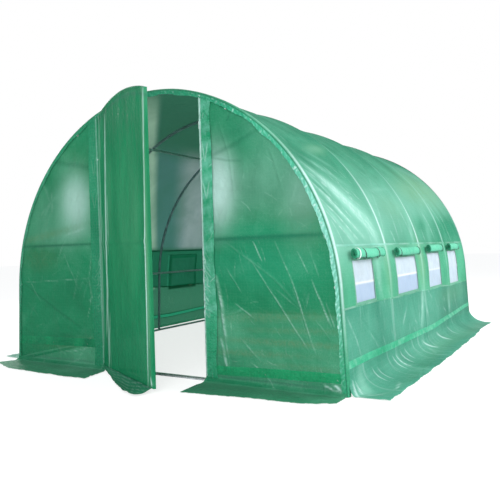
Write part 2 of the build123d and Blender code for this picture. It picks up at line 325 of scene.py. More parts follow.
def nodeMaker(tree):
    # put(kind, {input: value or socket}, **settings) adds a node and gives it back; a colour is three numbers
    def put(kind, inputs=None, **settings):
        node = tree.nodes.new("ShaderNode" + kind)
        for key, value in settings.items():
            setattr(node, key, value)
        for key, value in (inputs or {}).items():
            if isinstance(value, bpy.types.NodeSocket):
                tree.links.new(value, node.inputs[key])
            elif node.inputs[key].type == "RGBA":
                node.inputs[key].default_value = tuple(value) + (1.0,)
            else:
                node.inputs[key].default_value = value
        return node
    return put


def sumMaker(put):
    # work: a Math node; blend: two colours mixed; span: a number carried from one range to another
    def work(how, *given, **settings):
        return put("Math", dict(enumerate(given)), operation=how, **settings).outputs[0]

    def blend(amount, first, second):
        return put("Mix", {0: amount, 6: first, 7: second}, data_type="RGBA").outputs[2]

    def span(value, low=0.0, high=1.0, start=0.0, end=1.0, **settings):
        return put("MapRange", {0: value, 1: low, 2: high, 3: start, 4: end}, **settings).outputs[0]
    return work, blend, span


def weaveGroup():
    # reinforcing threads: a fine two-way weave and a coarser net of stronger threads, from a flat place in metres
    group, given, result = socketGroup("woven threads", [("Place", "Vector", None), ("Net", "Float", 100.0)],
                                       ["Height", "Threads"])
    put = nodeMaker(group)
    work, _, span = sumMaker(put)
    split = put("SeparateXYZ", {0: given.outputs["Place"]})
    bars, fine = [], []
    for axis in (0, 1):
        there = work("PINGPONG", work("MULTIPLY", split.outputs[axis], given.outputs["Net"]), 1.0)
        bars.append(span(there, 0.0, weaveLook["thread"], 1.0, 0.0, interpolation_type="SMOOTHSTEP"))
        fine.append(work("SINE", work("MULTIPLY", split.outputs[axis], weaveLook["fine"])))
    threads = work("MAXIMUM", *bars)
    height = work("MULTIPLY_ADD", work("MULTIPLY", *fine), weaveLook["rise"], threads)
    group.links.new(height, result.inputs["Height"])
    group.links.new(threads, result.inputs["Threads"])
    return group


def cloudGroup():
    # slow and quick uneven tint of film that has been folded and handled
    group, given, result = socketGroup("uneven tint", [("Place", "Vector", None), ("Scale", "Float", 2.5),
                                                       ("Stretch", "Vector", (1, 1, 1))], ["Tint", "Crinkle"])
    put = nodeMaker(group)
    stretched = put("VectorMath", {0: given.outputs["Place"], 1: given.outputs["Stretch"]}, operation="MULTIPLY")
    slow = put("TexNoise", {"Vector": stretched.outputs[0], "Scale": given.outputs["Scale"], "Detail": 4.0,
                            "Roughness": 0.55, "Distortion": 0.6})
    quick = put("TexNoise", {"Vector": stretched.outputs[0], "Scale": 38.0, "Detail": 3.0, "Roughness": 0.6,
                             "Distortion": 1.2})
    spread = put("MapRange", {0: slow.outputs["Fac"], 1: 0.3, 2: 0.7, 3: 0.0, 4: 1.0})
    group.links.new(spread.outputs[0], result.inputs["Tint"])
    group.links.new(quick.outputs["Fac"], result.inputs["Crinkle"])
    return group


def scuffGroup():
    # rubbed and dusty metal: long faint streaks and small spots
    group, given, result = socketGroup("rubbed metal", [("Place", "Vector", None), ("Scale", "Float", 30.0)],
                                       ["Streaks", "Spots"])
    put = nodeMaker(group)
    streaks = put("TexNoise", {"Vector": given.outputs["Place"], "Scale": given.outputs["Scale"], "Detail": 5.0,
                               "Roughness": 0.65})
    spots = put("TexVoronoi", {"Vector": given.outputs["Place"], "Scale": 160.0})
    dots = put("MapRange", {0: spots.outputs["Distance"], 1: 0.12, 2: 0.3, 3: 1.0, 4: 0.0})
    group.links.new(streaks.outputs["Fac"], result.inputs["Streaks"])
    group.links.new(dots.outputs[0], result.inputs["Spots"])
    return group


weaveLook = {"thread": 0.12, "fine": 2300.0, "rise": 0.35}
weave, cloud, scuff = weaveGroup(), cloudGroup(), scuffGroup()


def newMaterial(name):
    made = bpy.data.materials.new(name)
    made.use_nodes = True
    made.node_tree.nodes.clear()
    put = nodeMaker(made.node_tree)
    return made, put, put("OutputMaterial").inputs["Surface"]


def shade(colour, k):
    return tuple(min(1.0, c * k) for c in colour)


def maskOf(put, key):
    return put("Attribute", attribute_name=key).outputs["Fac"]


def sheer(put, look, face, glow, clearColour=(1, 1, 1)):
    # a sheet that passes some light on and lets a little be seen straight through
    body = put("MixShader", {0: look["through"], 1: face.outputs[0], 2: glow.outputs[0]})
    clear = put("BsdfTransparent", {"Color": clearColour})
    return put("MixShader", {0: look["clear"], 1: body.outputs[0], 2: clear.outputs[0]}).outputs[0]


# what every film shares; a film's own values are given where it is made, and the colours are those of outer and
# inner face, painted sheen, olive patches, painted shade, threads and painted glints, and welds; the inner ones
# paint light and shade
filmLook = {
    "outer": (0.026, 0.27, 0.15), "milky": (0.29, 0.64, 0.51), "warm": (0.23, 0.43, 0.22),
    # the shade colour is painted shade, the creased colour serves both threads and painted glints, and the inner
    # colours but the first paint light and shade inside
    "shade": (0.012, 0.12, 0.065), "creased": (0.70, 0.92, 0.90), "weld": (0.03, 0.44, 0.25),
    "inner": (0.02, 0.15, 0.085), "innerNear": (0.44, 0.64, 0.49), "innerShade": (0.07, 0.21, 0.20),
    "innerGlow": (0.37, 0.44, 0.47), "clearColour": (0.4, 0.85, 0.65), "crumple": 0.07, "innerCrease": 0.0,
    "depth": (-1.52, -1.40, -1.22, -0.86), "glow": (0.88, 0.94, 1.72, 1.9), "slope": 1.08, "leftOf": (0.1, -0.4),
    "rough": 0.4, "gloss": 0.14, "through": 0.3, "clear": 0.04, "net": 0.011, "threads": 0.05, "cloud": 2.2,
    "stretch": (1, 1, 1), "crinkle": 0.004, "mottle": 0.08, "weaveRise": 0.00012,
}


def filmMaterial(name, **own):
    # a laminated film: gloss over a body colour, some light passing through it and a little seen straight
    # through, with painted sheen, painted shade and painted glints over the outer colour; the face that looks
    # inwards is greyer and is painted lighter where the shoulder of the tunnel faces the light
    look = {**filmLook, **own}
    made, put, out = newMaterial(name)
    work, blend, span = sumMaker(put)
    place = put("TexCoord").outputs["Object"]
    net = put("Group", {"Place": put("UVMap", uv_map="cloth").outputs[0], "Net": 1 / look["net"]}, node_tree=weave)
    clouds = put("Group", {"Place": place, "Scale": look["cloud"], "Stretch": look["stretch"]}, node_tree=cloud)
    tint, crinkle = clouds.outputs["Tint"], clouds.outputs["Crinkle"]
    shine = maskOf(put, "shine")
    # painted glint lines where the quick noise crosses its middle, as on film that has been crumpled
    crumple = span(work("ABSOLUTE", work("SUBTRACT", crinkle, 0.5)), 0.0, 0.03, look["crumple"], 0.0)
    # painted sheen and pale tint from the mask, with a random mottle added
    haze = work("ADD", maskOf(put, "haze"), span(tint, start=-look["mottle"], end=look["mottle"]), use_clamp=True)
    olive = work("MULTIPLY", maskOf(put, "warm"), span(crinkle, 0.35, 0.65, 0.35, 1.0), use_clamp=True)
    # laid over the body colour in turn: painted sheen, olive tint, painted shade, threads, welds, and painted
    # glints in the thread colour
    layers = [(haze, "milky"), (olive, "warm"), (maskOf(put, "dark"), "shade"),
              (work("MULTIPLY", net.outputs["Threads"], look["threads"]), "creased"), (maskOf(put, "weld"), "weld"),
              (work("ADD", shine, work("MULTIPLY", crumple, tint), use_clamp=True), "creased")]
    outer = blend(tint, shade(look["outer"], 0.84), shade(look["outer"], 1.16))
    for amount, colour in layers:
        outer = blend(amount, outer, look[colour])
    # inside, painted light and shade: the first bay is painted lit warm, the next one in painted shade and the far
    # ones painted lit cool, on the left and between the rail and the crown
    at = put("SeparateXYZ", {0: place})
    smooth = {"interpolation_type": "SMOOTHSTEP"}
    up = span(at.outputs["Z"], *look["glow"][:2], **smooth)
    down = span(at.outputs["Z"], *look["glow"][2:], 1.0, 0.0, **smooth)
    depth = work("ADD", at.outputs["Y"], work("MULTIPLY", at.outputs["X"], look["slope"]))
    nearer = span(depth, *look["depth"][:2], **smooth)
    farther = span(depth, *look["depth"][2:], **smooth)
    lit = work("MULTIPLY", up, work("MAXIMUM", down, work("SUBTRACT", 1.0, nearer)))
    lit = work("MULTIPLY", lit, span(at.outputs["X"], *look["leftOf"]))
    lit = work("MULTIPLY", lit, span(tint, start=0.55))
    glowing = blend(farther, blend(nearer, look["innerNear"], look["innerShade"]), look["innerGlow"])
    inner = blend(lit, look["inner"], glowing)
    # where the painted glint mask is set, the inner face takes the painted light colour
    inner = blend(work("MULTIPLY", shine, look["innerCrease"]), inner, look["innerNear"])
    colour = blend(put("NewGeometry").outputs["Backfacing"], outer, inner)
    rough = span(crinkle, 0.35, 0.7, look["rough"] - 0.06, look["rough"] + 0.08)
    height = work("MULTIPLY_ADD", crinkle, look["crinkle"],
                  work("MULTIPLY", net.outputs["Height"], look["weaveRise"]))
    bump = put("Bump", {"Height": height, "Distance": 1.0, "Strength": 1.0}).outputs[0]
    face = put("BsdfPrincipled", {"Base Color": colour, "Roughness": rough, "Normal": bump, "IOR": 1.45,
                                  "Specular IOR Level": look["gloss"]})
    glow = put("BsdfTranslucent", {"Color": colour, "Normal": bump})
    made.node_tree.links.new(sheer(put, look, face, glow, look["clearColour"]), out)
    return made


def allInner(colour):
    # one colour all over the inner face
    return dict.fromkeys(("inner", "innerNear", "innerShade", "innerGlow"), colour)


roofMaterial = filmMaterial("roof film", gloss=0.05, rough=0.5)
wallMaterial = filmMaterial("wall film", outer=(0.04, 0.30, 0.195), gloss=0.08, inner=(0.032, 0.22, 0.12),
                            innerCrease=0.5)
stripMaterial = filmMaterial("window strip film", outer=(0.04, 0.375, 0.2), clear=0.0, crinkle=0.003,
                             inner=(0.022, 0.19, 0.105), innerNear=(0.08, 0.75, 0.45), innerCrease=1.0)
gableMaterial = filmMaterial("gable film", outer=(0.018, 0.225, 0.105), milky=(0.42, 0.63, 0.575),
                             warm=(0.10, 0.21, 0.10), gloss=0.06, clear=0.07, cloud=1.6, threads=0.02)
bandMaterial = filmMaterial("edge band film", outer=(0.018, 0.32, 0.15), milky=(0.3, 0.75, 0.62), clear=0.0,
                            crinkle=0.012)
weldMaterial = filmMaterial("welded film", outer=(0.03, 0.46, 0.24), milky=(0.2, 0.7, 0.5), clear=0.0,
                            crinkle=0.01, **allInner((0.04, 0.45, 0.25)))
gableWeldMaterial = filmMaterial("welded gable film", outer=(0.018, 0.31, 0.13), milky=(0.2, 0.7, 0.5), clear=0.0,
                                 mottle=0.03, gloss=0.05, threads=0.02, crinkle=0.008)
doorMaterial = filmMaterial("door film", outer=(0.003, 0.175, 0.070), milky=(0.12, 0.36, 0.2), gloss=0.05,
                            threads=0.01, clear=0.02, through=0.12, crinkle=0.0035, crumple=0.0,
                            stretch=(1, 1, 0.4), **allInner((0.02, 0.15, 0.07)))
rollMaterial = filmMaterial("rolled flap film", outer=(0.04, 0.42, 0.24), clear=0.0, through=0.1, crinkle=0.006,
                            **allInner((0.03, 0.3, 0.16)))


def steelMaterial(name, look):
    # steel with rubbed streaks in its colour and roughness, under small spots of dust
    made, put, out = newMaterial(name)
    work, blend, span = sumMaker(put)
    wear = put("Group", {"Place": put("TexCoord").outputs["Object"], "Scale": look["grain"]}, node_tree=scuff)
    streaks = wear.outputs["Streaks"]
    colour = blend(span(streaks, 0.35, 0.7), shade(look["colour"], 0.75), shade(look["colour"], 1.25))
    dusty = blend(work("MULTIPLY", wear.outputs["Spots"], look["dust"]), colour, look["dustColour"])
    rough = span(streaks, 0.3, 0.7, look["rough"] - 0.08, look["rough"] + 0.1)
    bump = put("Bump", {"Height": work("MULTIPLY", streaks, 0.0006), "Distance": 1.0, "Strength": 0.6})
    metal = put("BsdfPrincipled", {"Base Color": dusty, "Roughness": rough, "Metallic": look["metal"],
                                   "Normal": bump.outputs[0]})
    made.node_tree.links.new(metal.outputs[0], out)
    return made


tubeMaterial = steelMaterial("coated steel tube", {"colour": (0.24, 0.32, 0.36), "metal": 0.35, "rough": 0.42,
                                                   "grain": 22.0, "dust": 0.25, "dustColour": (0.45, 0.48, 0.47)})
paleMaterial = steelMaterial("pale coated steel", {"colour": (0.75, 0.9, 0.85), "metal": 0.1, "rough": 0.5,
                                                   "grain": 60.0, "dust": 0.2, "dustColour": (0.75, 0.77, 0.78)})
brightMaterial = steelMaterial("galvanised steel", {"colour": (0.62, 0.65, 0.67), "metal": 0.9, "rough": 0.34,
                                                    "grain": 60.0, "dust": 0.3, "dustColour": (0.75, 0.77, 0.78)})


def plainCloth(name, look):
    # net or tape: threads from the flat place, with gaps that let some light by; one mask lays painted shade and
    # another a painted white highlight
    look = {"net": 0.0035, "rough": 0.6, "through": 0.35, "clear": 0.0, **look}
    made, put, out = newMaterial(name)
    work, blend, _ = sumMaker(put)
    net = put("Group", {"Place": put("UVMap", uv_map="cloth").outputs[0], "Net": 1 / look["net"]}, node_tree=weave)
    clouds = put("Group", {"Place": put("TexCoord").outputs["Object"], "Scale": 9.0, "Stretch": (1, 1, 1)},
                 node_tree=cloud)
    colour = blend(clouds.outputs["Tint"], shade(look["colour"], 0.88), shade(look["colour"], 1.06))
    colour = blend(net.outputs["Threads"], colour, look["thread"])
    colour = blend(maskOf(put, "dark"), colour, look["shade"])
    colour = blend(maskOf(put, "shine"), colour, (1.0, 1.0, 1.0))
    bump = put("Bump", {"Height": work("MULTIPLY", net.outputs["Height"], 0.0003), "Distance": 1.0,
                        "Strength": 0.8})
    face = put("BsdfPrincipled", {"Base Color": colour, "Roughness": look["rough"], "Normal": bump.outputs[0]})
    made.node_tree.links.new(sheer(put, look, face, put("BsdfTranslucent", {"Color": colour})), out)
    return made


# the net's shade colour is painted shade below the purlin and in its folds
netMaterial = plainCloth("window net", {"colour": (0.70, 0.80, 0.92), "thread": (0.84, 0.89, 0.95),
                                        "shade": (0.47, 0.60, 0.84), "clear": 0.12})
# behind a hanging flap the white net is coloured green and bright: painted light that comes through the flap
shadedNetMaterial = plainCloth("window net behind a flap",
                               {"colour": (0.12, 0.64, 0.44), "thread": (0.16, 0.68, 0.50),
                                "shade": (0.1, 0.55, 0.38), "clear": 0.2})
strapMaterial = plainCloth("white strap", {"colour": (0.8, 0.84, 0.84), "thread": (0.9, 0.92, 0.92),
                                           "shade": (0.5, 0.55, 0.55), "net": 0.004, "through": 0.05})
tieMaterial = plainCloth("dark tie", {"colour": (0.004, 0.05, 0.03), "thread": (0.006, 0.07, 0.04),
                                      "shade": (0.004, 0.04, 0.025), "net": 0.003, "rough": 0.55, "through": 0.05})

galvanised = ("side_purlin", "haunch_purlin", "base_rail", "front_base", "rear_base", "door_hinges")
for name, node in nodes.items():
    steel = brightMaterial if name.startswith(galvanised) else tubeMaterial
    node.data.materials.clear()
    node.data.materials.append(paleMaterial if name == "door_stop" else steel)
print("materials ready")


coverFold = {"sag": 0.012, "wallSag": 0.12, "ridge": 0.0018, "slack": 0.0022, "crown": 0.010, "crease": 0.8}
# creases of the roof and walls, each with a width, a rise and a painted glint: length along the tunnel and length
# walked up the section from the right foot
coverCreases = [([(0.02, 1.44), (0.41, 1.217), (0.70, 1.05)], 0.010, 0.0050, 0.55),
                ([(0.03, 1.335), (0.25, 1.16), (0.46, 0.99)], 0.009, 0.0045, 0.6),
                ([(0.08, 1.40), (0.42, 1.26), (0.75, 1.085)], 0.012, 0.0040, 0.35),
                ([(0.00, 1.235), (0.22, 1.08), (0.46, 0.905)], 0.009, 0.0045, 0.75),
                ([(0.01, 1.15), (0.17, 1.02), (0.34, 0.895)], 0.008, 0.0040, 0.7),
                ([(0.13, 1.215), (0.35, 1.08), (0.55, 0.93)], 0.009, 0.0040, 0.7),
                ([(0.10, 1.49), (0.33, 1.31)], 0.010, 0.0030, 0.4),
                ([(0.08, 1.06), (0.17, 0.90)], 0.008, 0.0030, 0.5),
                ([(0.62, 1.2), (0.67, 0.90)], 0.010, 0.0035, 0.5),
                ([(1.165, 1.0), (1.195, 0.89)], 0.009, 0.0035, 0.6),
                ([(2.05, 1.02), (2.08, 0.9)], 0.012, 0.0035, 0.6),
                ([(0.145, 2.0), (0.17, 1.66)], 0.011, 0.0030, 0.3),
                ([(1.16, 1.36), (1.06, 1.12), (0.94, 0.90)], 0.013, 0.0040, 0.35),
                ([(1.35, 1.2), (1.30, 0.9)], 0.011, 0.0030, 0.4),
                ([(1.62, 1.25), (1.70, 0.9)], 0.012, 0.0035, 0.35),
                ([(2.35, 1.25), (2.45, 0.9)], 0.014, 0.0035, 0.4), ([(3.05, 1.2), (3.1, 0.9)], 0.016, 0.0035, 0.4),
                ([(2.72, 1.5), (2.95, 1.0)], 0.016, 0.0040, 0.3),
                ([(0.86, 0.64), (0.91, 0.40), (0.955, 0.16)], 0.010, 0.0045, 0.45),
                ([(1.755, 0.49), (1.70, 0.36), (1.63, 0.20)], 0.018, 0.0060, 0.8),
                ([(2.69, 0.40), (2.68, 0.20)], 0.020, 0.0050, 0.6),
                ([(1.29, 0.40), (1.15, 0.28)], 0.012, 0.0040, 0.5),
                ([(1.74, 0.47), (1.9, 0.24)], 0.014, 0.0035, 0.4),
                ([(1.62, 0.11), (1.80, 0.02)], 0.010, 0.0040, 1.0),
                ([(2.10, 0.11), (2.25, 0.02)], 0.012, 0.0035, 0.9),
                ([(2.5, 0.12), (2.58, 0.04)], 0.012, 0.0030, 0.5),
                ([(0.24, 0.46), (0.47, 0.31), (0.71, 0.17)], 0.010, -0.0040, 0.0),
                ([(0.075, 0.13), (0.05, 0.06), (0.02, -0.02)], 0.011, 0.0050, 1.0),
                ([(0.11, 0.12), (0.08, 0.03)], 0.008, 0.0040, 0.8),
                ([(0.03, 0.0), (0.25, -0.02), (0.5, 0.01)], 0.007, 0.0030, 0.6),
                ([(0.42, 0.13), (0.45, 0.05)], 0.007, 0.0035, 0.7),
                ([(0.5, 0.12), (0.54, 0.04)], 0.007, 0.0030, 0.6),
                ([(0.83, 0.13), (0.87, 0.04)], 0.008, 0.0040, 0.9),
                ([(0.90, 0.13), (0.97, 0.03)], 0.008, 0.0040, 1.0),
                ([(1.02, 0.13), (1.09, 0.04)], 0.008, 0.0035, 0.8),
                ([(1.13, 0.13), (1.19, 0.06)], 0.008, 0.0035, 0.6),
                ([(0.59, 0.80), (0.78, 0.45)], 0.009, 0.0030, 0.35),
                ([(0.03, 0.50), (0.2, 0.30), (0.30, 0.10)], 0.010, 0.0035, 0.35)]
coverCreases = scaled(coverCreases, 1.0, 1.0, 0.8)
coverCreases += scattered(7, 70, (0.08, 0.80, 0.95, 1.5), -0.72, 0.22, (0.08, 0.32), 0.0045, 0.0016, 0.6)
coverCreases += scattered(8, 60, (0.95, 3.5, 0.9, 2.2), -1.3, 0.45, (0.15, 0.45), 0.012, 0.0022, 0.16)
coverCreases += scattered(9, 50, (0.05, 3.5, 0.14, 0.52), -1.2, 0.5, (0.08, 0.26), 0.009, 0.0025, 0.4)
coverCreases += scattered(10, 40, (0.0, 3.55, -0.12, 0.15), -0.95, 0.5, (0.08, 0.2), 0.009, 0.0025, 0.25)
coverCreases += scattered(11, 60, (0.05, 3.5, around - 2.2, around - 0.9), 1.2, 0.5, (0.15, 0.45), 0.012, 0.0028,
                          0.35)
coverCreases += scattered(12, 70, (0.05, 3.5, around - 0.52, around + 0.1), 1.2, 0.5, (0.08, 0.26), 0.010, 0.0028,
                          0.4)
coverCreases += scattered(13, 24, (0.05, 3.5, 2.2, around - 2.2), 1.57, 0.6, (0.2, 0.5), 0.014, 0.0022, 0.25)


# painted sheen and olive places of the cover, painted white highlights, and the painted highlight lines along its
# hoops; places are length along the tunnel and length walked up
coverLight = {"centre": ([0, 0.85, 1.0, 1.8, 2.7, 3.6], [0.95, 0.97, 1.15, 1.22, 1.36, 1.5]),
              "spread": ([0, 0.9, 1.8, 3.6], [0.38, 0.36, 0.34, 0.3]),
              "amount": ([0, 0.9, 1.8, 2.7, 3.6], [0.62, 0.55, 0.46, 0.42, 0.48]),
              "low": ([0, 2.2, 3.0, 3.6], [0.08, 0.08, 0.0, 0.0]), "band": 0.24,
              "milky": [(0.40, 1.26, 0.36, 0.055, -0.62, 0.5), (0.52, 1.19, 0.24, 0.085, -0.62, 0.4),
                        (0.25, 1.15, 0.25, 0.024, -0.64, 0.35), (0.16, 1.07, 0.18, 0.020, -0.73, 0.3),
                        (0.15, 1.33, 0.12, 0.020, -0.65, 0.4), (0.42, 1.47, 0.26, 0.028, -0.42, 0.28),
                        (0.52, 1.57, 0.15, 0.025, -0.4, 0.22), (0.62, 1.70, 0.22, 0.04, 0.25, 0.2),
                        (0.75, 1.0, 0.14, 0.09, -1.2, 0.3), (0.55, 0.97, 0.15, 0.045, -0.6, 0.15),
                        (0.52, 1.25, 0.26, 0.14, -0.62, 0.12), (0.32, 0.95, 0.10, 0.03, -0.8, 0.2),
                        (1.72, 1.0, 0.12, 0.04, 1.2, 0.3), (1.4, 1.38, 0.25, 0.02, 0.1, 0.12),
                        (2.1, 1.07, 0.22, 0.08, 0.1, -0.2), (3.05, 1.08, 0.42, 0.11, 0.0, -0.2),
                        (2.3, 1.0, 0.2, 0.06, 1.0, 0.15), (3.3, 1.85, 0.5, 0.12, -0.2, 0.25),
                        (1.72, 0.35, 0.18, 0.045, 1.25, 0.6), (1.85, 0.34, 0.14, 0.03, 1.8, 0.3),
                        (2.66, 0.32, 0.13, 0.035, 1.57, 0.45), (0.9, 0.33, 0.18, 0.012, 1.6, 0.35),
                        (0.70, 0.70, 0.16, 0.05, 1.57, 0.45), (0.15, 0.08, 0.16, 0.04, 0.7, 0.45),
                        (1.35, 0.62, 0.4, 0.08, 0.0, 0.1)],
              "white": [(0.44, 1.25, 0.26, 0.035, -0.62, 0.38), (0.55, 1.12, 0.20, 0.02, -0.7, 0.2),
                        (0.27, 1.15, 0.22, 0.014, -0.64, 0.3), (0.76, 0.97, 0.09, 0.03, -1.2, 0.2)],
              "warm": [(3.1, 1.55, 0.7, 0.25, 0.0, 0.55), (2.3, 1.42, 0.4, 0.14, 0.0, 0.32),
                       (1.45, 1.2, 0.35, 0.12, 0.0, 0.2), (0.65, 1.7, 0.25, 0.06, 0.25, 0.3),
                       (1.8, 0.72, 0.12, 0.22, 0.0, 0.5), (0.9, 0.72, 0.07, 0.2, 0.0, 0.35),
                       (0.5, -0.05, 0.6, 0.05, 0.0, 0.12), (2.9, 0.38, 0.6, 0.1, 0.0, 0.25),
                       (2.2, 0.0, 1.2, 0.06, 0.0, 0.2)],
              "gloss": ([0.1, 0.5, 0.95, 1.15, 1.35, 1.6, 2.0], [0.1, 0.25, 1.0, 0.95, 0.5, 0.22, 0.05]),
              "hoops": [0.0, 1.0, 0.9, 0.5, 0.4], "beyond": [0.0, 0.034, 0.020, 0.006, 0.0]}


def hoopShine(y, s):
    # a painted highlight line along each hoop's far shoulder, strongest just above the windows
    nearest = np.abs(y[..., None] - hoopAt).argmin(-1)
    beside = y - hoopAt[nearest] - np.array(coverLight["beyond"])[nearest]
    return (np.interp(fromFoot(s), *coverLight["gloss"]) * np.array(coverLight["hoops"])[nearest]
            * bell(beside, 0.015))


def coverTint(y, s):
    # painted sheen on the shoulder that faces sideways and up towards the light, deep green over the top and on the
    # walls, a painted pale band beside each hoop and soft patches of painted sheen; the second value is the olive
    # tint
    y, s = np.broadcast_arrays(np.asarray(y, float), np.asarray(s, float))
    middle = fromFoot(s)
    rise = clamp((middle - 0.6) / 0.25)
    across = bell(middle - np.interp(y, *coverLight["centre"]), np.interp(y, *coverLight["spread"]))
    glow = np.interp(y, *coverLight["amount"]) * across
    off = np.abs(y[..., None] - hoopAt - np.array(coverLight["beyond"])).min(-1)
    band = coverLight["band"] * bell(off, 0.034) * clamp((2.1 - middle) / 0.6) * rise
    haze = np.interp(y, *coverLight["low"]) * (1 - rise) + (0.03 + glow) * rise + band
    haze = haze + patches(y, middle, coverLight["milky"])
    return np.clip(haze, 0, 1.15), clamp(patches(y, middle, coverLight["warm"]))


def crownLift(s):
    # how far the cover stands above the section over the top
    return coverFold["crown"] * clamp((fromFoot(s) - 1.7) / 0.9) ** 1.5


def coverShape(y, s):
    # how far the film stands in from the section: a catenary-like dip between hoops, deepest over the top, less a
    # narrow ridge on each hoop, a slow slack and the creases; the film rests on the hoops
    y, s = np.broadcast_arrays(np.asarray(y, float), np.asarray(s, float))
    bay = np.clip(np.searchsorted(hoopAt, y) - 1, 0, 3)
    f = clamp((y - hoopAt[bay]) / (hoopAt[bay + 1] - hoopAt[bay]))
    deep = coverFold["sag"] * (coverFold["wallSag"] + (1 - coverFold["wallSag"]) * clamp(fromFoot(s) - 0.9))
    bow = (4 * f * (1 - f)) ** 0.75
    off = np.abs(y[..., None] - hoopAt).min(-1)
    height, shine = creaseField(y, s, coverCreases)
    slack = (wave(y, s, 5, 0.55) + 0.8) * coverFold["slack"] - height * coverFold["crease"]
    calm = 1 - bell(off, 0.02)
    inset = deep * bow + coverFold["ridge"] * (1 - bell(off, 0.009)) + slack * calm * clamp(bow * 1.6)
    shine = np.maximum(shine * calm * broken(y, s, 14, 0.12), hoopShine(y, s))
    return np.maximum(inset, 0) - crownLift(s), shine


def coverPoint(y, s, lift=0.0):
    # a place on the film, lifted off it by a little, with its painted crease glints
    inset, shine = coverShape(y, s)
    x, z = section(s, inset - lift)
    return x, np.asarray(y) + front, z, shine


def awayFrom(place):
    # the side that faces look to when they stand round a line along the tunnel through this place
    return lambda at: (at - np.array(place)) * np.array([1, 0, 1])


awayFromAxis = awayFrom([0, 0, 0.45])


stripTopS = float(lengthAt(tunnel["stripTop"]))
bays = steps((hoopAt[0], 95), (hoopAt[1], 60), (hoopAt[2], 48), (hoopAt[3], 42), (hoopAt[4],))
besideHoop = np.array([-0.016, -0.012, -0.009, -0.006, -0.003, 0, 0.003, 0.006, 0.009, 0.012, 0.016])
yFine = np.unique(np.concatenate([bays] + [h + besideHoop for h in hoopAt]))
yFine = yFine[(yFine >= hoopAt[0]) & (yFine <= hoopAt[-1])]

roofS = steps((stripTopS, 130), (2.2, 60), (around - 2.2, 60), (around - stripTopS,))
y, s = np.meshgrid(yFine, roofS, indexing="ij")
x, yy, z, shine = coverPoint(y, s)
haze, warm = coverTint(y, s)
# painted white highlights where the sheen is brightest, broken along the folds
shine = clamp(shine + patches(y, s, coverLight["white"]) * broken(y * 0.6 + s * 0.8, s * 3 - y * 3, 15, 0.12))
roofFilm = sheetGrid("roof_film", x, yy, z, roofMaterial, "green_film", y, s, shine=shine, facing=awayFromAxis,
                     haze=haze, warm=warm)
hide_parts("roof_cover")
print("roof film", len(roofFilm.data.polygons))


# window strips: the rows follow the lower seam, the sills, the heads and the upper seam, so the openings have
# straight edges; the seam falls towards the back and keeps below the sills
strip = {"seam": 0.543, "fall": 0.022, "belowSill": 0.012, "shine": 0.6, "underFlap": 0.5}
flap = {"top": 0.842, "margin": 0.045}


def atWindows(y, which):
    # the windows' sills (2) or heads (3), carried on straight between them
    return np.interp(y, windowEdges, np.repeat([w[which] for w in windows], 2))


def lowerSeam(y):
    return np.minimum(strip["seam"] - strip["fall"] * y, atWindows(y, 2) - strip["belowSill"])


def windowRows(y):
    return np.stack([lengthAt(lowerSeam(y)), lengthAt(atWindows(y, 2)), lengthAt(atWindows(y, 3)),
                     np.full(y.shape, stripTopS)])


for side, sign in sides:
    evenly = np.linspace(hoopAt[0], hoopAt[-1], 150 if sign > 0 else 90)
    ys = np.unique(np.round(np.concatenate([evenly, windowEdges]), 5))
    rows = windowRows(ys)
    v = steps((0, 4), (1, 16), (2, 8), (3,))
    s = walked(np.stack([np.interp(v, [0, 1, 2, 3], rows[:, i]) for i in range(len(ys))]), sign)
    y = np.broadcast_to(ys[:, None], s.shape)
    middleY, middleV = (ys[:-1] + ys[1:]) / 2, (v[:-1] + v[1:]) / 2
    opening = np.any([(middleY > w[0]) & (middleY < w[1]) for w in windows], 0)[:, None]
    opening = opening & ((middleV > 1) & (middleV < 2))[None]
    x, yy, z, shine = coverPoint(y, s)
    haze, warm = coverTint(y, s)
    # the strip's painted glints are weaker
    shine = shine * strip["shine"]
    if sign < 0:
        # under the hanging flaps the strip's inner face is painted as bright as elsewhere: painted light in place
        # of the light that the flaps hold back
        centres, halves = [(w[0] + w[1]) / 2 for w in windows], [(w[1] - w[0]) / 2 for w in windows]
        under = clamp((flap["margin"] - np.abs(y[..., None] - centres) + halves) / 0.01).max(-1)
        below = clamp((z - atWindows(y, 2) + flap["margin"]) / 0.01)
        shine = strip["underFlap"] * under * clamp((flap["top"] - z) / 0.01) * below
    stripFilm = sheetGrid("window_strip_film_" + side, x, yy, z, stripMaterial, "green_panel", y, s, keep=~opening,
                          facing=awayFromAxis, shine=shine, haze=haze, warm=warm)
    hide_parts("window_strip_" + side)
print("window strips ready")


# lower walls: straight from the seam to the weld, then the film turns out over the ground in one sweep, whose
# angle from the upright eases from 0 to a right angle
wall = {"weldAt": ([0.0, 0.4, 2.0, 3.6], [0.165, 0.160, 0.134, 0.186]),
        "reach": ([0.0, 0.1, 0.5, 1.4, 2.6, 3.6], [1.725, 1.725, 1.733, 1.740, 1.728, 1.675]),
        "flap": 0.17, "edge": 0.006, "ripple": (0.010, 0.004), "cut": (0.02, 0.10), "pinch": 0.75, "glow": 0.07,
        "patches": [(1.71, 0.485, 0.036, 0.022, 0, 1.0), (2.385, 0.480, 0.034, 0.022, 0, 0.8)]}
wallRows = steps((0, 34), (1, 16), (2, 6), (3,))
sweepAngle = math.pi / 2 * (lambda t: t * t * (3 - 2 * t))(np.linspace(0, 1, 201))
sweepX = np.concatenate([[0], np.cumsum(np.sin(sweepAngle[:-1]))]) / 100
sweepZ = 1 - np.concatenate([[0], np.cumsum(np.cos(sweepAngle[:-1]))]) / 100


def swept(t, course):
    # how far out or down the sweep has come at t from 0 to 1
    return np.interp(t * 200, np.arange(201), course)


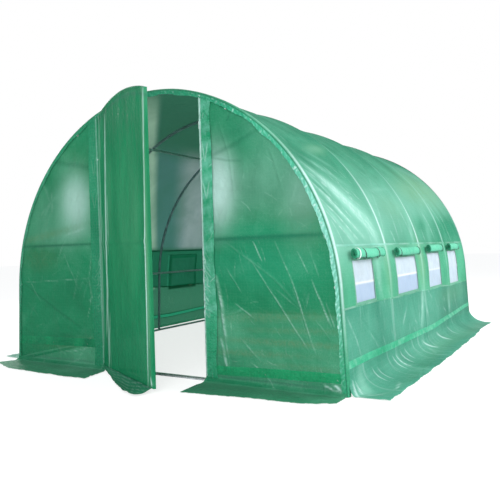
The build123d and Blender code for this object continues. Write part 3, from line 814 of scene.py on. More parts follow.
def wallGrid(sign, lift=0.0, rows=wallRows):
    # rows run from the seam down: q from 0 to 1 is the wall, 1 to 2 the sweep, 2 to 3 the part that lies on the
    # ground
    y, q = np.meshgrid(yFine, rows, indexing="ij")
    weldZ = np.interp(y, *wall["weldAt"])
    topS = lengthAt(lowerSeam(y))
    s = topS + (lengthAt(weldZ) - topS) * clamp(q)
    loose = np.clip(q - 1, 0, 2)
    flat = s - loose * wall["flap"]
    inset, shine = coverShape(y, walked(s, sign))
    height, flareShine = creaseField(y, walked(flat, sign), coverCreases)
    x, z = section(walked(s, sign), inset - lift)
    x = np.abs(x)
    turned = clamp(q - 1) ** 0.8
    drop = (weldZ - tunnel["lying"]) * (swept(turned, sweepZ) - sweepZ[200]) / (1 - sweepZ[200])
    z = np.where(q > 1, tunnel["lying"] + drop, z)
    contact = x + swept(turned, sweepX) * weldZ * (1 - wall["pinch"] * bell(y, 0.13))
    reach = np.interp(y, *wall["reach"]) + wall["edge"] * wave(y, 0 * y, 31, 0.3)
    x = np.where(q > 1, contact + clamp(q - 2) * np.maximum(reach - contact, 0.02), x)
    ripple = wave(y, flat, 33, 0.16) * wall["ripple"][0] + wave(y, flat * 2, 34, 0.07) * wall["ripple"][1]
    ripple = ripple * clamp(loose) * clamp(1.6 - 0.5 * loose)
    lateral = ripple * np.clip(1.3 - loose, 0.15, 1) + height * clamp(loose * 3)
    x = x + np.where(q > 1, lateral, 0) + np.where(q > 1, lift, 0)
    raised = z + np.abs(ripple) * clamp(loose - 0.7) * 0.6 + height * clamp(loose - 0.5)
    z = np.where(q > 1, np.maximum(raised, tunnel["lowest"]), z) + np.where(q > 1.5, lift, 0)
    ends = np.clip(loose - 0.5, 0, 1.5) / 1.5
    y = y + ends * wall["cut"][0] * np.exp(-y / 0.12) - ends * wall["cut"][1] * np.exp(-(length - y) / 0.12)
    return sign * x, y + front, z, y, flat, np.maximum(shine, flareShine * (q > 1))


# on the left the weld strip takes the place of the film's cells there, so that light comes through one layer
middle = (wallRows[:-1] + wallRows[1:]) / 2
underWeld = np.tile((middle > 0.90) & (middle < 1.0), (len(yFine) - 1, 1))
for side, sign in sides:
    x, yy, z, u, v, shine = wallGrid(sign)
    haze, warm = coverTint(u, v)
    # paler where the film turns out and lies on the ground
    haze = haze + wall["glow"] * clamp((0.13 - fromFoot(v)) / 0.03)
    # on the left, two patches of painted glint low on the wall, which also paint its inner face lighter
    if sign < 0:
        shine = np.maximum(shine, patches(u, z, wall["patches"]))
    # painted shade darkens the wall towards its far end, above the part on the ground
    wallFilm = sheetGrid("wall_film_" + side, x, yy, z, wallMaterial, "green_film", u, v, facing=awayFromAxis,
                         keep=~underWeld if sign < 0 else None, shine=shine, haze=haze, warm=warm,
                         dark=0.16 * clamp((u - 2.2) / 0.6) * (v > 0.16))
    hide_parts("lower_cover_" + side, "ground_flap_" + side)
print("wall film ready")


# gables: rows of equal height from the ground flap to the arch, columns spread from the door post to the arch
# gable creases, each a line, a width, a rise and a painted glint
gableCreases = [([(1.03, 0.93), (1.157, 0.622), (1.286, 0.22)], 0.008, 0.0055, 0.7),
                ([(0.84, 0.82), (1.015, 0.564), (1.25, 0.235)], 0.008, 0.0050, 0.6),
                ([(1.27, 0.69), (1.389, 0.40)], 0.007, 0.0045, 0.7),
                ([(1.31, 0.60), (1.40, 0.39)], 0.007, 0.0040, 0.6),
                ([(0.655, 0.76), (0.77, 0.60)], 0.008, 0.0040, 0.55),
                ([(1.31, 0.16), (1.35, 0.04)], 0.007, 0.0040, 0.7),
                ([(0.57, 0.72), (0.608, 0.549), (0.636, 0.272), (0.665, 0.10)], 0.012, 0.0060, 0.6),
                ([(0.71, 0.53), (0.855, 0.435)], 0.008, 0.0040, 0.55),
                ([(0.89, 0.12), (1.015, 0.0)], 0.008, 0.0040, 0.5),
                ([(1.36, 0.55), (1.415, 0.40)], 0.008, 0.0040, 0.6),
                ([(1.44, 0.12), (1.467, 0.04)], 0.007, 0.0030, 0.6),
                ([(0.50, 0.79), (0.57, 0.61)], 0.006, 0.0035, 0.6),
                ([(0.49, 0.62), (0.556, 0.45)], 0.006, 0.0035, 0.6),
                ([(0.66, 0.93), (1.0, 0.70), (1.2, 0.5)], 0.014, 0.0040, 0.2),
                ([(1.25, 0.9), (1.32, 0.7)], 0.009, 0.0040, 0.3), ([(0.75, 0.3), (0.9, 0.16)], 0.010, 0.0035, 0.35),
                ([(0.62, 1.75), (0.70, 1.5), (0.74, 1.2)], 0.018, 0.0050, 0.0),
                ([(1.0, 1.55), (1.1, 1.2)], 0.018, 0.0050, 0.0),
                ([(-1.42, 0.645), (-1.05, 0.45), (-0.69, 0.28)], 0.008, -0.0045, 0.0),
                ([(-1.02, 0.095), (-0.78, 0.12), (-0.55, 0.18)], 0.007, 0.0035, 0.4),
                ([(-0.66, 0.36), (-0.62, 0.47), (-0.60, 0.61)], 0.007, 0.0040, 0.45),
                ([(-0.59, 0.27), (-0.765, 0.065)], 0.007, 0.0040, 0.4),
                ([(-1.42, 0.655), (-1.0, 0.672), (-0.59, 0.69)], 0.008, 0.0, 0.35),
                ([(-0.57, 0.60), (-0.60, 0.53), (-0.57, 0.50)], 0.010, 0.0030, 0.6),
                ([(-0.58, 0.9), (-0.63, 0.7), (-0.6, 0.5)], 0.010, 0.0040, 0.3),
                ([(-1.35, 0.7), (-1.2, 0.5)], 0.010, 0.003, 0.25),
                ([(-0.9, 0.9), (-0.75, 0.6)], 0.012, 0.0035, 0.25)]
gableCreases = scaled(gableCreases, 0.55, 0.7, 0.5)
gableCreases += [([(0.57, 0.72), (0.608, 0.549), (0.636, 0.272)], 0.014, 0.0050, 0.5),
                 ([(0.595, 0.30), (0.625, 0.17), (0.65, 0.08)], 0.012, 0.0040, 0.45),
                 # a painted highlight stands for the end fitting of the rail seen through the film
                 ([(1.365, 0.930), (1.37, 0.985)], 0.006, 0.0, 0.9),
                 ([(0.87, 0.93), (0.93, 0.80)], 0.004, 0.0020, 0.5),
                 ([(1.37, 0.085), (1.455, 0.035)], 0.010, 0.0040, 0.8),
                 ([(1.41, 0.11), (1.455, 0.06)], 0.006, 0.0030, 0.7),
                 ([(1.33, 0.06), (1.45, 0.03)], 0.006, 0.0030, 0.6),
                 ([(1.18, 0.86), (1.25, 0.72)], 0.004, 0.0020, 0.4)]
gableCreases += scattered(21, 24, (0.5, 1.45, 0.0, 0.93), -1.05, 0.4, (0.08, 0.25), 0.004, 0.0020, 0.16)
gableCreases += scattered(22, 50, (0.75, 1.25, 1.0, 1.45), -0.9, 0.9, (0.03, 0.12), 0.003, 0.0012, 0.22)
gableCreases += scattered(29, 40, (0.55, 1.3, 0.1, 0.93), -1.0, 0.8, (0.03, 0.12), 0.003, 0.0012, 0.3)
gableCreases += scattered(23, 50, (-1.45, -0.5, -0.05, 0.93), -2.0, 0.6, (0.08, 0.3), 0.006, 0.0025, 0.12)
gableCreases += scattered(24, 14, (-1.3, -0.55, 1.0, 1.7), -1.9, 0.5, (0.15, 0.4), 0.012, 0.0030, 0.15)
# painted glow and sheen where light comes through, fresh green and olive places, and painted shadow lines of tubes
# that
# touch the film or stand close behind it: the rails, the top of the arch and the purlins further in; painted shade
# also lies along folds, the fold at the foot and the flap on the ground
gableLight = {"milky": [(0.61, 1.29, 0.27, 0.12, 1.57, 0.95), (0.88, 1.30, 0.50, 0.20, 0.0, 0.20),
                        (1.24, 1.14, 0.24, 0.14, 1.3, 0.25), (0.75, 0.75, 0.3, 0.1, 0.2, 0.06),
                        (1.0, 1.60, 0.4, 0.16, -0.7, 0.10), (-0.74, 1.28, 0.22, 0.16, 1.57, 0.68),
                        (-0.95, 1.25, 0.4, 0.3, 0.3, 0.16), (-0.7, 1.05, 0.25, 0.06, 0.1, 0.06),
                        (-1.1, 1.0, 0.3, 0.1, 0.0, 0.08)],
              "fresh": [(0.95, 0.78, 0.55, 0.16, 0.0, 0.28), (0.95, 1.0, 0.5, 0.06, 0.0, 0.15),
                        (0.9, 1.62, 0.45, 0.2, -0.6, 0.12)],
              "warm": [(1.0, 0.45, 0.5, 0.035, 0.05, 0.55), (1.15, 0.37, 0.4, 0.02, 0.03, 0.5),
                       (1.1, 0.29, 0.5, 0.022, 0.0, 0.7), (0.85, 0.21, 0.4, 0.022, 0.02, 0.6),
                       (1.2, 0.15, 0.3, 0.02, 0.0, 0.4), (1.25, 1.0, 0.2, 0.2, 1.2, 0.25),
                       (-1.1, 1.04, 0.4, 0.03, 0.15, 0.5), (-1.2, 0.85, 0.25, 0.1, 0.0, 0.4),
                       (-0.8, 0.18, 0.4, 0.04, 0.1, 0.5), (-0.7, 1.6, 0.3, 0.1, -0.4, 0.15)],
              "dark": [([(0.5, 0.950), (1.375, 0.955)], 0.016, 0.9), ([(0.5, 0.930), (1.35, 0.932)], 0.018, 0.25),
                       ([(-1.385, 0.955), (-0.5, 0.955)], 0.010, 0.75), ([(-1.15, 1.66), (-0.5, 1.53)], 0.022, 0.4),
                       ([(-1.4, 0.65), (-1.05, 0.45), (-0.69, 0.28)], 0.010, 0.45),
                       ([(-1.42, 0.16), (-0.5, 0.27)], 0.03, 0.18), ([(-1.05, 0.62), (-0.5, 0.66)], 0.05, 0.15),
                       ([(0.55, 1.50), (0.75, 1.57), (1.0, 1.66)], 0.016, 0.4),
                       ([(0.55, 1.50), (0.68, 1.465), (0.80, 1.45)], 0.008, 0.3),
                       ([(0.60, 1.60), (0.95, 1.70)], 0.03, 0.22), ([(0.73, 1.78), (0.69, 1.72)], 0.008, 0.5),
                       ([(0.5, 0.80), (1.4, 0.84)], 0.07, 0.12), ([(0.4, 0.035), (1.47, 0.025)], 0.012, 0.8),
                       ([(0.55, 0.06), (1.45, 0.06)], 0.025, 0.3), ([(-1.5, 0.03), (-0.45, 0.035)], 0.014, 0.6),
                       ([(-1.5, -0.06), (-0.4, -0.06)], 0.09, 0.3)]}
# each gable's outer edge on the ground and its fold, both as distances out from the face along its width
gable = {
    "inner": postX - 0.006, "inset": 0.010, "foldAt": 0.07, "foldShare": 0.45, "flap": 0.33, "creased": 0.2,
    "hollow": 0.014, "slack": (0.005, 0.0016), "ripple": (0.012, 0.004), "least": 0.0008,
    "right": {"edge": ([0.48, 0.50, 0.75, 1.0, 1.32, 1.48], [0.12, 0.322, 0.295, 0.270, 0.238, 0.155]),
              "fold": ([0.48, 0.69, 1.37, 1.48], [0.075, 0.070, 0.035, 0.03]), "rows": 300, "columns": 150},
    "left": {"edge": ([0.35, 0.50, 0.605, 1.184, 1.45, 1.571], [0.290, 0.305, 0.325, 0.292, 0.19, 0.14]),
             "fold": ([0.35, 1.5], [0.07, 0.05]), "rows": 190, "columns": 95},
}
foldAt = gable["foldAt"]


def gablePoint(x, z, lift=0.0):
    # the film hangs from the arch to the ground between post, rail and arch: a shallow hollow each side of the
    # rail, folds and a slow slack
    a = np.abs(x)
    height, shine = creaseField(x, z, gableCreases)
    rail = np.abs(z - tunnel["railHeight"])
    toEdge = clamp((halfAt(z) - a) / 0.35) * clamp((a - postX) / 0.25)
    hollow = gable["hollow"] * toEdge * (1 - np.exp(-(rail / 0.22) ** 1.5))
    slack = wave(x, z, 27, 0.45) * gable["slack"][0] + wave(x, z * 0.6, 28, 0.16) * gable["slack"][1]
    calm = clamp((halfAt(z) - a - 0.02) / 0.06) * clamp((a - postX - 0.01) / 0.05)
    calm = calm * (0.25 + 0.75 * (1 - bell(rail, 0.035)))
    depth = 0.0015 + hollow * clamp(z / 0.2) + (slack + 0.004) * calm - height * clamp(calm + 0.2)
    return np.maximum(depth, gable["least"]) - lift, shine


def gableRows(top, folded, standing):
    # rows from the flap's edge in to the fold and on up to the top: the height of each, the share of the flap
    # that has gone by below it, and whether it stands above the fold
    v = np.concatenate([np.linspace(-1, 0, folded, endpoint=False), np.linspace(0, 1, standing)])
    return np.where(v >= 0, foldAt + (top - foldAt) * v, foldAt)[None, :], clamp(-v)[None, :], (v >= 0)[None, :]


def foldOut(down):
    # the film turns out over the first share of the flap and lies flat after it: how far it has swept out and
    # dropped, and the share of the flat part
    turned = clamp(down / gable["foldShare"])
    drop = (swept(turned, sweepZ) - sweepZ[200]) / (1 - sweepZ[200])
    return swept(turned, sweepX) / sweepX[200], drop, clamp((down - gable["foldShare"]) / 0.55)


for side, sign in sides:
    g = gable[side]
    topZ = arcHeight + math.sqrt((arcRadius - gable["inset"]) ** 2 - (gable["inner"] + 0.004) ** 2)
    zr, down, above = gableRows(topZ, 26, g["rows"])
    c = np.linspace(0, 1, g["columns"])[:, None]
    x = gable["inner"] + (halfAt(zr, gable["inset"]) - gable["inner"]) * c
    edge, fold = np.interp(x, *g["edge"]), np.interp(x, *g["fold"])
    depth, shine = gablePoint(sign * x, zr)
    sweep, drop, flatPart = foldOut(down)
    ripple = (wave(sign * x, down, 36, 0.2) * gable["ripple"][0]
              + wave(sign * x, down, 37, 0.08) * gable["ripple"][1])
    ripple = ripple * clamp(down * 3)
    foldHeight, foldShine = creaseField(sign * x, foldAt - down * gable["creased"] + 0 * x, gableCreases)
    y = depth - sweep * fold - flatPart * (edge - fold)
    y = y - ripple * clamp(1 - flatPart) * 0.5 - np.where(down > 0, foldHeight * 0.8, 0)
    z = np.where(above, zr, tunnel["lying"] + (foldAt - tunnel["lying"]) * drop)
    z = z + np.abs(ripple) * clamp(flatPart * 2) * 0.3 + np.where(down > 0.2, foldHeight, 0)
    if side == "left":
        # the flap's inner end draws in under the door's hinge, and its outer end spreads round the corner
        turned = clamp(down / gable["foldShare"])
        x = x - clamp(1 - (x - 0.47) / 0.25) * (0.07 * turned + 0.05 * flatPart) + 0.07 * flatPart * c
    flatX, flatV = sign * x, np.where(above, zr, foldAt - down * gable["flap"])
    shine = np.maximum(shine * (zr > foldAt), foldShine * (down > 0)) * broken(x, flatV, 30)
    film = sheetGrid("gable_film_" + side, flatX, y + front, np.maximum(z, tunnel["lowest"]), gableMaterial,
                     "green_film", flatX, flatV, facing=np.array([0, -1, 0.2]), shine=shine,
                     haze=patches(flatX, flatV, gableLight["milky"]),
                     weld=clamp(patches(flatX, flatV, gableLight["fresh"])),
                     warm=patches(flatX, flatV, gableLight["warm"]), dark=lines(flatX, flatV, gableLight["dark"]))
    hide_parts("front_cover_" + side, "ground_flap_front_" + side)

# rear gable, one sheet right across with its flap
rear = {"fold": 0.06, "reach": 0.225, "corner": 0.07, "edge": 0.006, "hollow": 0.012, "slack": 0.005,
        "ripple": 0.010, "milky": [(-0.7, 1.25, 0.3, 0.2, 1.2, 0.35), (0.75, 1.2, 0.3, 0.2, 1.9, 0.35)],
        "weldAt": 0.13}
zr, down, above = gableRows(arcHeight + arcRadius - 0.012, 16, 150)
x = halfAt(zr, gable["inset"]) * np.linspace(-1, 1, 141)[:, None]
rearCreases = scattered(25, 60, (-1.4, -0.1, 0.0, 0.93), 2.0, 0.25, (0.15, 0.5), 0.011, 0.0035, 0.6)
rearCreases += scattered(26, 60, (0.1, 1.4, 0.0, 0.93), 1.15, 0.25, (0.15, 0.5), 0.011, 0.0035, 0.6)
rearCreases += scattered(27, 40, (-1.1, 1.1, 1.0, 1.8), 1.5, 0.4, (0.2, 0.6), 0.012, 0.0030, 0.3)
rearCreases = scaled(rearCreases, 0.55, 0.6, 0.5)
height, shine = creaseField(x, np.where(above, zr, foldAt - 0.25 * down) + 0 * x, rearCreases)
posts = np.minimum(np.abs(x - postX), np.abs(x + postX))
toEdge = clamp((halfAt(zr) - np.abs(x)) / 0.3) * (1 - np.exp(-(posts / 0.15) ** 1.4))
slack = wave(x, zr, 29, 0.5) * rear["slack"] + rear["slack"]
depth = 0.0012 + rear["hollow"] * toEdge * clamp(zr / 0.2) + slack * toEdge
depth = depth - height * (0.2 + 0.8 * toEdge)
sweep, drop, flatPart = foldOut(down)
reach = rear["reach"] - rear["corner"] * np.abs(x / 1.5) ** 6 + rear["edge"] * wave(x, 0 * x, 39, 0.3)
ripple = wave(x, down, 38, 0.2) * rear["ripple"] * clamp(down * 3)
y = length - np.maximum(depth, gable["least"]) + sweep * rear["fold"] + flatPart * (reach - rear["fold"])
z = np.where(above, zr, tunnel["lying"] + (foldAt - tunnel["lying"]) * drop)
z = z + np.abs(ripple) * flatPart + np.where(down > 0.2, height, 0)
# painted sheen patches, and a painted shadow line where the rail touches the rear film
rearFilm = sheetGrid("rear_gable_film", x, y + front, np.maximum(z, tunnel["lowest"]), gableMaterial, "green_film",
                     x, np.where(above, zr, foldAt - 0.3 * down), facing=np.array([0, 1, 0.2]), shine=shine,
                     haze=0.06 + patches(x, zr, rear["milky"]),
                     weld=0.9 * clamp(1.6 - np.abs(zr - rear["weldAt"]) / 0.02),
                     dark=bell(zr - tunnel["railHeight"], 0.012) * 0.6)
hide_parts("rear_cover", "ground_flap_rear")
print("gables ready")


# edge bands round both arches: over the hoop, round it, and a crinkled hem on the gable; a painted highlight runs
# along the rim, with painted glints on the hem, a painted shadow line in the groove and painted shade over the top
edgeBand = {"over": 0.034, "tube": 0.0163, "hem": 0.040, "crinkle": 0.0022, "uneven": 0.008, "groove": 0.0405,
            "leftShare": 0.15, "rim": ([0.15, 0.45, 0.8, 1.35, 1.55, 1.9, 2.1],
                                       [0.03, 0.35, 0.95, 0.9, 0.35, 0.15, 0.1]),
            "glints": ([0.0, 0.25, 0.45, 1.3, 1.9, 2.4], [0.2, 0.5, 1.0, 1.0, 0.7, 0.3]),
            "pale": ([0.1, 0.45, 0.6, 1.15, 1.5, 2.0], [0.1, 0.35, 0.65, 0.65, 0.35, 0.05])}
bandCreases = scattered(51, 420, (0, around, 0.015, 0.06), 1.2, 0.5, (0.012, 0.04), 0.0035, 0.0022, 1.0)

def bandGrid(atRear):
    # rows go round the arch; columns come off the cover, turn a quarter round the end tube and run in over the
    # gable
    bend = np.linspace(math.pi / 2, math.pi, 9)[1:-1]
    c, axis = edgeBand["tube"], tunnel["hoopInset"]
    ys = np.concatenate([[edgeBand["over"], 0.024], axis + c * np.cos(bend), np.full(7, -0.0008)])
    insets = np.concatenate([[-0.0009, -0.0009], axis - c * np.sin(bend), np.linspace(axis, edgeBand["hem"], 7)])
    across = np.concatenate([[0, 0.008], 0.014 + 0.0255 * np.linspace(0, 1, 7), np.linspace(0.045, 0.07, 7)])
    s, k = np.meshgrid(np.linspace(0, around, 620), np.arange(len(ys)), indexing="ij")
    y, inset, w = ys[k], insets[k], across[k]
    height, shine = creaseField(s, w - 0.02, bandCreases)
    hem = clamp((w - 0.04) / 0.03)
    wide = edgeBand["uneven"] * wave(s, 0 * s, 52 + atRear, 0.12) * hem
    pucker = np.abs(wave(s, w, 53 + atRear, 0.035)) * edgeBand["crinkle"]
    y = y - hem * (0.0012 + pucker) - height * clamp((w - 0.02) / 0.03)
    x, z = section(s, inset + wide - crownLift(s) - height * clamp(1 - (w - 0.02) / 0.02) * 0.5)
    return x, (length - y if atRear else y) + front, np.maximum(z, 0.002), s, w, shine


for atRear, name in ((0, "edge_band_front"), (1, "edge_band_rear")):
    x, y, z, u, v, shine = bandGrid(atRear)
    middle = fromFoot(u)
    # the left half takes less painted light and some painted shade; along the rim a painted highlight, in the
    # groove a painted shadow line, and painted shade over the top
    lit = np.where(u < around / 2, 1.0, edgeBand["leftShare"])
    rim = np.interp(middle, *edgeBand["rim"]) * bell(v - 0.016, 0.012) * lit
    hem = clamp((v - edgeBand["groove"]) / 0.006) * np.interp(middle, *edgeBand["glints"]) * lit
    groove = 0.8 * bell(v - edgeBand["groove"] + 0.004, 0.004)
    top = 0.4 * clamp((middle - 2.0) / 0.3)
    pale = np.interp(middle, *edgeBand["pale"]) + 0.8 * clamp(wave(u, v * 3, 54, 0.05))
    band = sheetGrid(name, x, y, z, bandMaterial, "green_film", u, v, shine=np.maximum(shine * hem, rim),
                     haze=rim * 0.6 + hem * pale, dark=np.maximum(groove, np.maximum(top, 0.35 * (1 - lit))),
                     weld=0.7 * clamp(hem) * clamp((middle - 1.2) / 0.3),
                     facing=lambda at: at - np.array([0, front + length / 2, 0.45]))
print("edge bands ready")


# window net, and hems round the openings on the side that is open
window = {"hem": 0.016, "hemLift": 0.0016, "netInset": 0.0042, "slack": 0.004, "folds": 0.25, "line": 0.642,
          "margin": {"right": 0.013, "left": 0.002}, "shade": [0.75, 0.75, 0.35, 0.1], "pale": [0.9, 0.9, 0.5, 0.1]}


def hemRing(w):
    # a narrow frame round a window: points along its four edges, moved out by four small steps
    corners = np.array([[w[0], w[2]], [w[1], w[2]], [w[1], w[3]], [w[0], w[3]], [w[0], w[2]]])
    edges = [np.linspace(a, b, 14, endpoint=False) for a, b in zip(corners[:-1], corners[1:])]
    way = np.concatenate(edges + [corners[:1]])
    centre = (corners[0] + corners[2]) / 2
    out = np.sign(way - centre) * (np.abs(np.abs(way - centre) - np.abs(corners[0] - centre)) < 1e-6)
    ring = way[:, None] + out[:, None] * np.array([-0.004, 0.004, 0.012, window["hem"]])[None, :, None]
    y, s = ring[..., 0], lengthAt(ring[..., 1])
    x, yy, z, _ = coverPoint(y, s, lift=window["hemLift"] * np.array([0.2, 1.0, 1.0, 0.3])[None, :])
    return stacked(x, yy, z), stacked(y, s)


for side, sign in sides:
    nets, margin = [], window["margin"][side]
    for w, shaded, bright in zip(windows, window["shade"], window["pale"]):
        y = np.linspace(w[0] - margin, w[1] + margin, 90)[:, None]
        z = np.linspace(w[2] - margin, w[3] + margin, 70)[None, :]
        s = lengthAt(z)
        place = walked(s, sign) + 0 * y
        mid = (np.sin(math.pi * clamp((y - w[0]) / (w[1] - w[0])))
               * np.sin(math.pi * clamp((z - w[2]) / (w[3] - w[2]))))
        inset = np.maximum(coverShape(y, place)[0], 0.001) + window["netInset"]
        px, pz = section(place, inset + window["slack"] * mid * wave(y, s, 61, 0.2))
        # the purlin behind shows as a painted highlight line through the net, painted shade makes the net bluer
        # below it, and faint folds hang from the head as lines of painted shade
        below = shaded * clamp((window["line"] - z) / 0.01)
        folds = window["folds"] * clamp(wave(y + 0.25 * z, 0 * z, 62, 0.035) - 0.35)
        pale = bell(z - window["line"] - 0.004, 0.007) * bright
        nets.append((stacked(px, y + front, pz), stacked(y, place, clamp(below + folds), pale)))
    points, faces, extra = joinGrids(nets)
    net = meshPiece("window_net_" + side, points, faces, netMaterial if sign > 0 else shadedNetMaterial,
                    "window_mesh", uv=extra[:, :2], facing=awayFromAxis,
                    masks={"dark": extra[:, 2], "shine": extra[:, 3]})
    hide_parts("window_mesh_" + side)
    if side == "right":
        # the hems carry a faint painted glint
        points, faces, uv = joinGrids([hemRing(w) for w in windows])
        meshPiece("window_hems_right", points, faces, bandMaterial, "green_panel", uv=uv, facing=awayFromAxis,
                  masks=filmMasks(len(points), shine=0.2))

# rolled flaps with their ties; the ties' places are lengths along the tunnel
roll = {"deep": 0.0222, "tall": 0.0344, "core": 0.1, "turns": 5.4, "sag": 0.002, "coil": 0.75, "pinch": 0.10,
        "crumple": (0.05, 0.02), "ends": 0.05, "ties": [[0.370, 0.625], [1.125, 1.625], [2.43], [3.125]]}
rollBoxes = [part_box("flap_roll_%d" % i) for i in range(1, 5)]
rollCentres = [np.array([(lo.x + hi.x) / 2, 0, (lo.z + hi.z) / 2]) for lo, hi in rollBoxes]


def rollPoint(centre, angle, part):
    # a place in a roll's oval section, at an angle round it and a part of the way out; the oval leans as the
    # cover does there
    tip = math.asin((centre[2] - arcHeight) / arcRadius)
    out, along = roll["deep"] * part * np.cos(angle), roll["tall"] * part * np.sin(angle)
    return (centre[0] + out * math.cos(tip) - along * math.sin(tip),
            centre[2] + out * math.sin(tip) + along * math.cos(tip))


for i, (lo, hi) in enumerate(rollBoxes):
    y = np.linspace(lo.y, hi.y, 64)[:, None]
    along = (y - lo.y) / (hi.y - lo.y)
    t = np.linspace(0, 1, 170)[None, :]
    angle = 2 * math.pi * roll["turns"] * t + math.pi * 0.55
    pinch = sum(bell(y - front - tie, 0.014) for tie in roll["ties"][i])
    crumple = wave(y, angle * 0.02, 71 + i, 0.09) * roll["crumple"][0]
    crumple = crumple + wave(y, angle * 0.03, 75 + i, 0.03) * roll["crumple"][1]
    part = roll["core"] + (1 - roll["core"]) * t
    part = part * (1 - roll["pinch"] * pinch) - roll["ends"] * np.abs(2 * along - 1) ** 6 + crumple * t
    x, z = rollPoint(rollCentres[i], angle, np.minimum(part, 1.01))
    z = z + (-roll["sag"] * np.sin(math.pi * along) + 0.0015 * np.sin(9 * along + i))
    # painted glints where the ties pinch the roll, and the outer turns paler
    rolled = sheetGrid("rolled_flap_%d" % (i + 1), x, y, z, rollMaterial, "green_panel", y, 0.11 * t,
                       facing=awayFrom(rollCentres[i]), shine=0.10 * clamp(pinch) * t, haze=0.2 * t)
    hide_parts("flap_roll_%d" % (i + 1))


# the ends of the rolls are pressed shut: a shallow dished disc with the edge of the film coiled in it; painted
# shade lies in the gaps of the coil and deepens towards the middle
ends = []
for (lo, hi), centre in zip(rollBoxes, rollCentres):
    for at, way in ((lo.y, 1), (hi.y, -1)):
        turn = np.linspace(0, 2 * math.pi, 49)[:, None]
        part = np.linspace(0.04, 1, 22)[None, :]
        x, z = rollPoint(centre, turn, 0.94 * part)
        coil = 0.5 + 0.5 * np.sin(2 * math.pi * roll["turns"] * part - turn)
        dish = at + way * (0.003 + 0.005 * (1 - part) ** 0.7 + 0.0012 * coil)
        ends.append((stacked(x, dish, z),
                     stacked(0.03 * part, 0.03 * turn, roll["coil"] * (1 - coil) + 0.3 * (1 - part))))
points, faces, extra = joinGrids(ends)
meshPiece("roll_ends", points, faces, rollMaterial, "green_panel", uv=extra[:, :2],
          masks=filmMasks(len(points), dark=clamp(extra[:, 2])))


def strapLoop(name, y, centre, part, wide, material, slot, slant=0.0):
    # a flat tape once round a roll, closed on itself; slant carries its top along the roll
    turn = np.linspace(0, 2 * math.pi, 41)[:, None]
    x, z = rollPoint(centre, turn, part + 0.04 + 0.02 * np.sin(3 * turn))
    across = np.linspace(-wide / 2, wide / 2, 4)[None, :]
    points = stacked(x, y + slant * np.sin(turn + 0.4) + across, z)
    piece = meshPiece(name, points, gridFaces(41, 4), material, slot, uv=stacked(across, turn * 0.03),
                      facing=awayFrom(centre))
    solid = piece.modifiers.new("thick", "SOLIDIFY")
    solid.thickness, solid.offset = 0.0012, 1


for i, centre in enumerate(rollCentres):
    for k, at in enumerate(roll["ties"][i]):
        strapLoop("roll_tie_%d_%d" % (i + 1, k + 1), at + front, centre - np.array([0, 0, 0.002]), 0.93, 0.011,
                  tieMaterial, "green_panel", slant=-0.016)
strapLoop("white_strap", rollBoxes[0][0].y + 0.058, rollCentres[0], 0.96, 0.013, strapMaterial, "window_mesh")

# the flaps that hang on the left, each a little curled at its foot
hanging = []
for i, w in enumerate(windows):
    y = np.linspace(w[0] - flap["margin"], w[1] + flap["margin"], 40)[:, None]
    t = np.linspace(0, 1, 36)[None, :]
    s = lengthAt(flap["top"] + (w[2] - flap["margin"] - flap["top"]) * t)
    curl = 0.0030 + 0.010 * t ** 2 * (0.6 + 0.6 * wave(y, t, 81 + i, 0.3)) + 0.0025 * wave(y, s, 85 + i, 0.12) * t
    x, z = section(around - s, coverShape(y, around - s)[0] - np.maximum(curl, 0.0015))
    hanging.append((stacked(x, y + front, z), stacked(y, s)))
points, faces, uv = joinGrids(hanging)
leftFlaps = meshPiece("hanging_flaps_left", points, faces, stripMaterial, "green_panel", uv=uv,
                      facing=awayFromAxis, masks=filmMasks(len(points), haze=0.1))
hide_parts("window_flaps_left")
print("windows ready")


# seams: narrow welded strips that follow the film
seam = {"lift": 0.0010, "pucker": 0.0004, "gloss": 0.25, "belowFilm": 0.004, "weldRows": [0.89, 0.92, 0.98, 1.01],
        "weldLift": 0.0012, "gable": {"right": (0.055, 0.113), "left": (0.16, 0.225)}}


def seamStrip(name, s, wide, seed):
    # a strip of four columns a little above the film, its edges drawn down to it, with painted glints and the
    # cover's painted sheen
    ys, ss = np.broadcast_arrays(yFine[:, None], s[:, None] + (np.array([-0.5, -0.3, 0.3, 0.5]) * wide)[None, :])
    raised = seam["lift"] * np.array([0.15, 1, 1, 0.15])[None, :]
    raised = raised + seam["pucker"] * np.abs(wave(ys, ss, seed, 0.05)) * np.array([0.2, 1, 1, 0.2])[None, :]
    x, yy, z, _ = coverPoint(ys, ss, lift=raised + 0.0003)
    glint = seam["gloss"] * clamp(0.6 + 0.6 * wave(ys, ss, seed + 1, 0.4))
    sheetGrid(name, x, yy, z, bandMaterial, "green_panel", ys, ss, facing=awayFromAxis, shine=glint,
              haze=coverTint(ys, ss)[0])


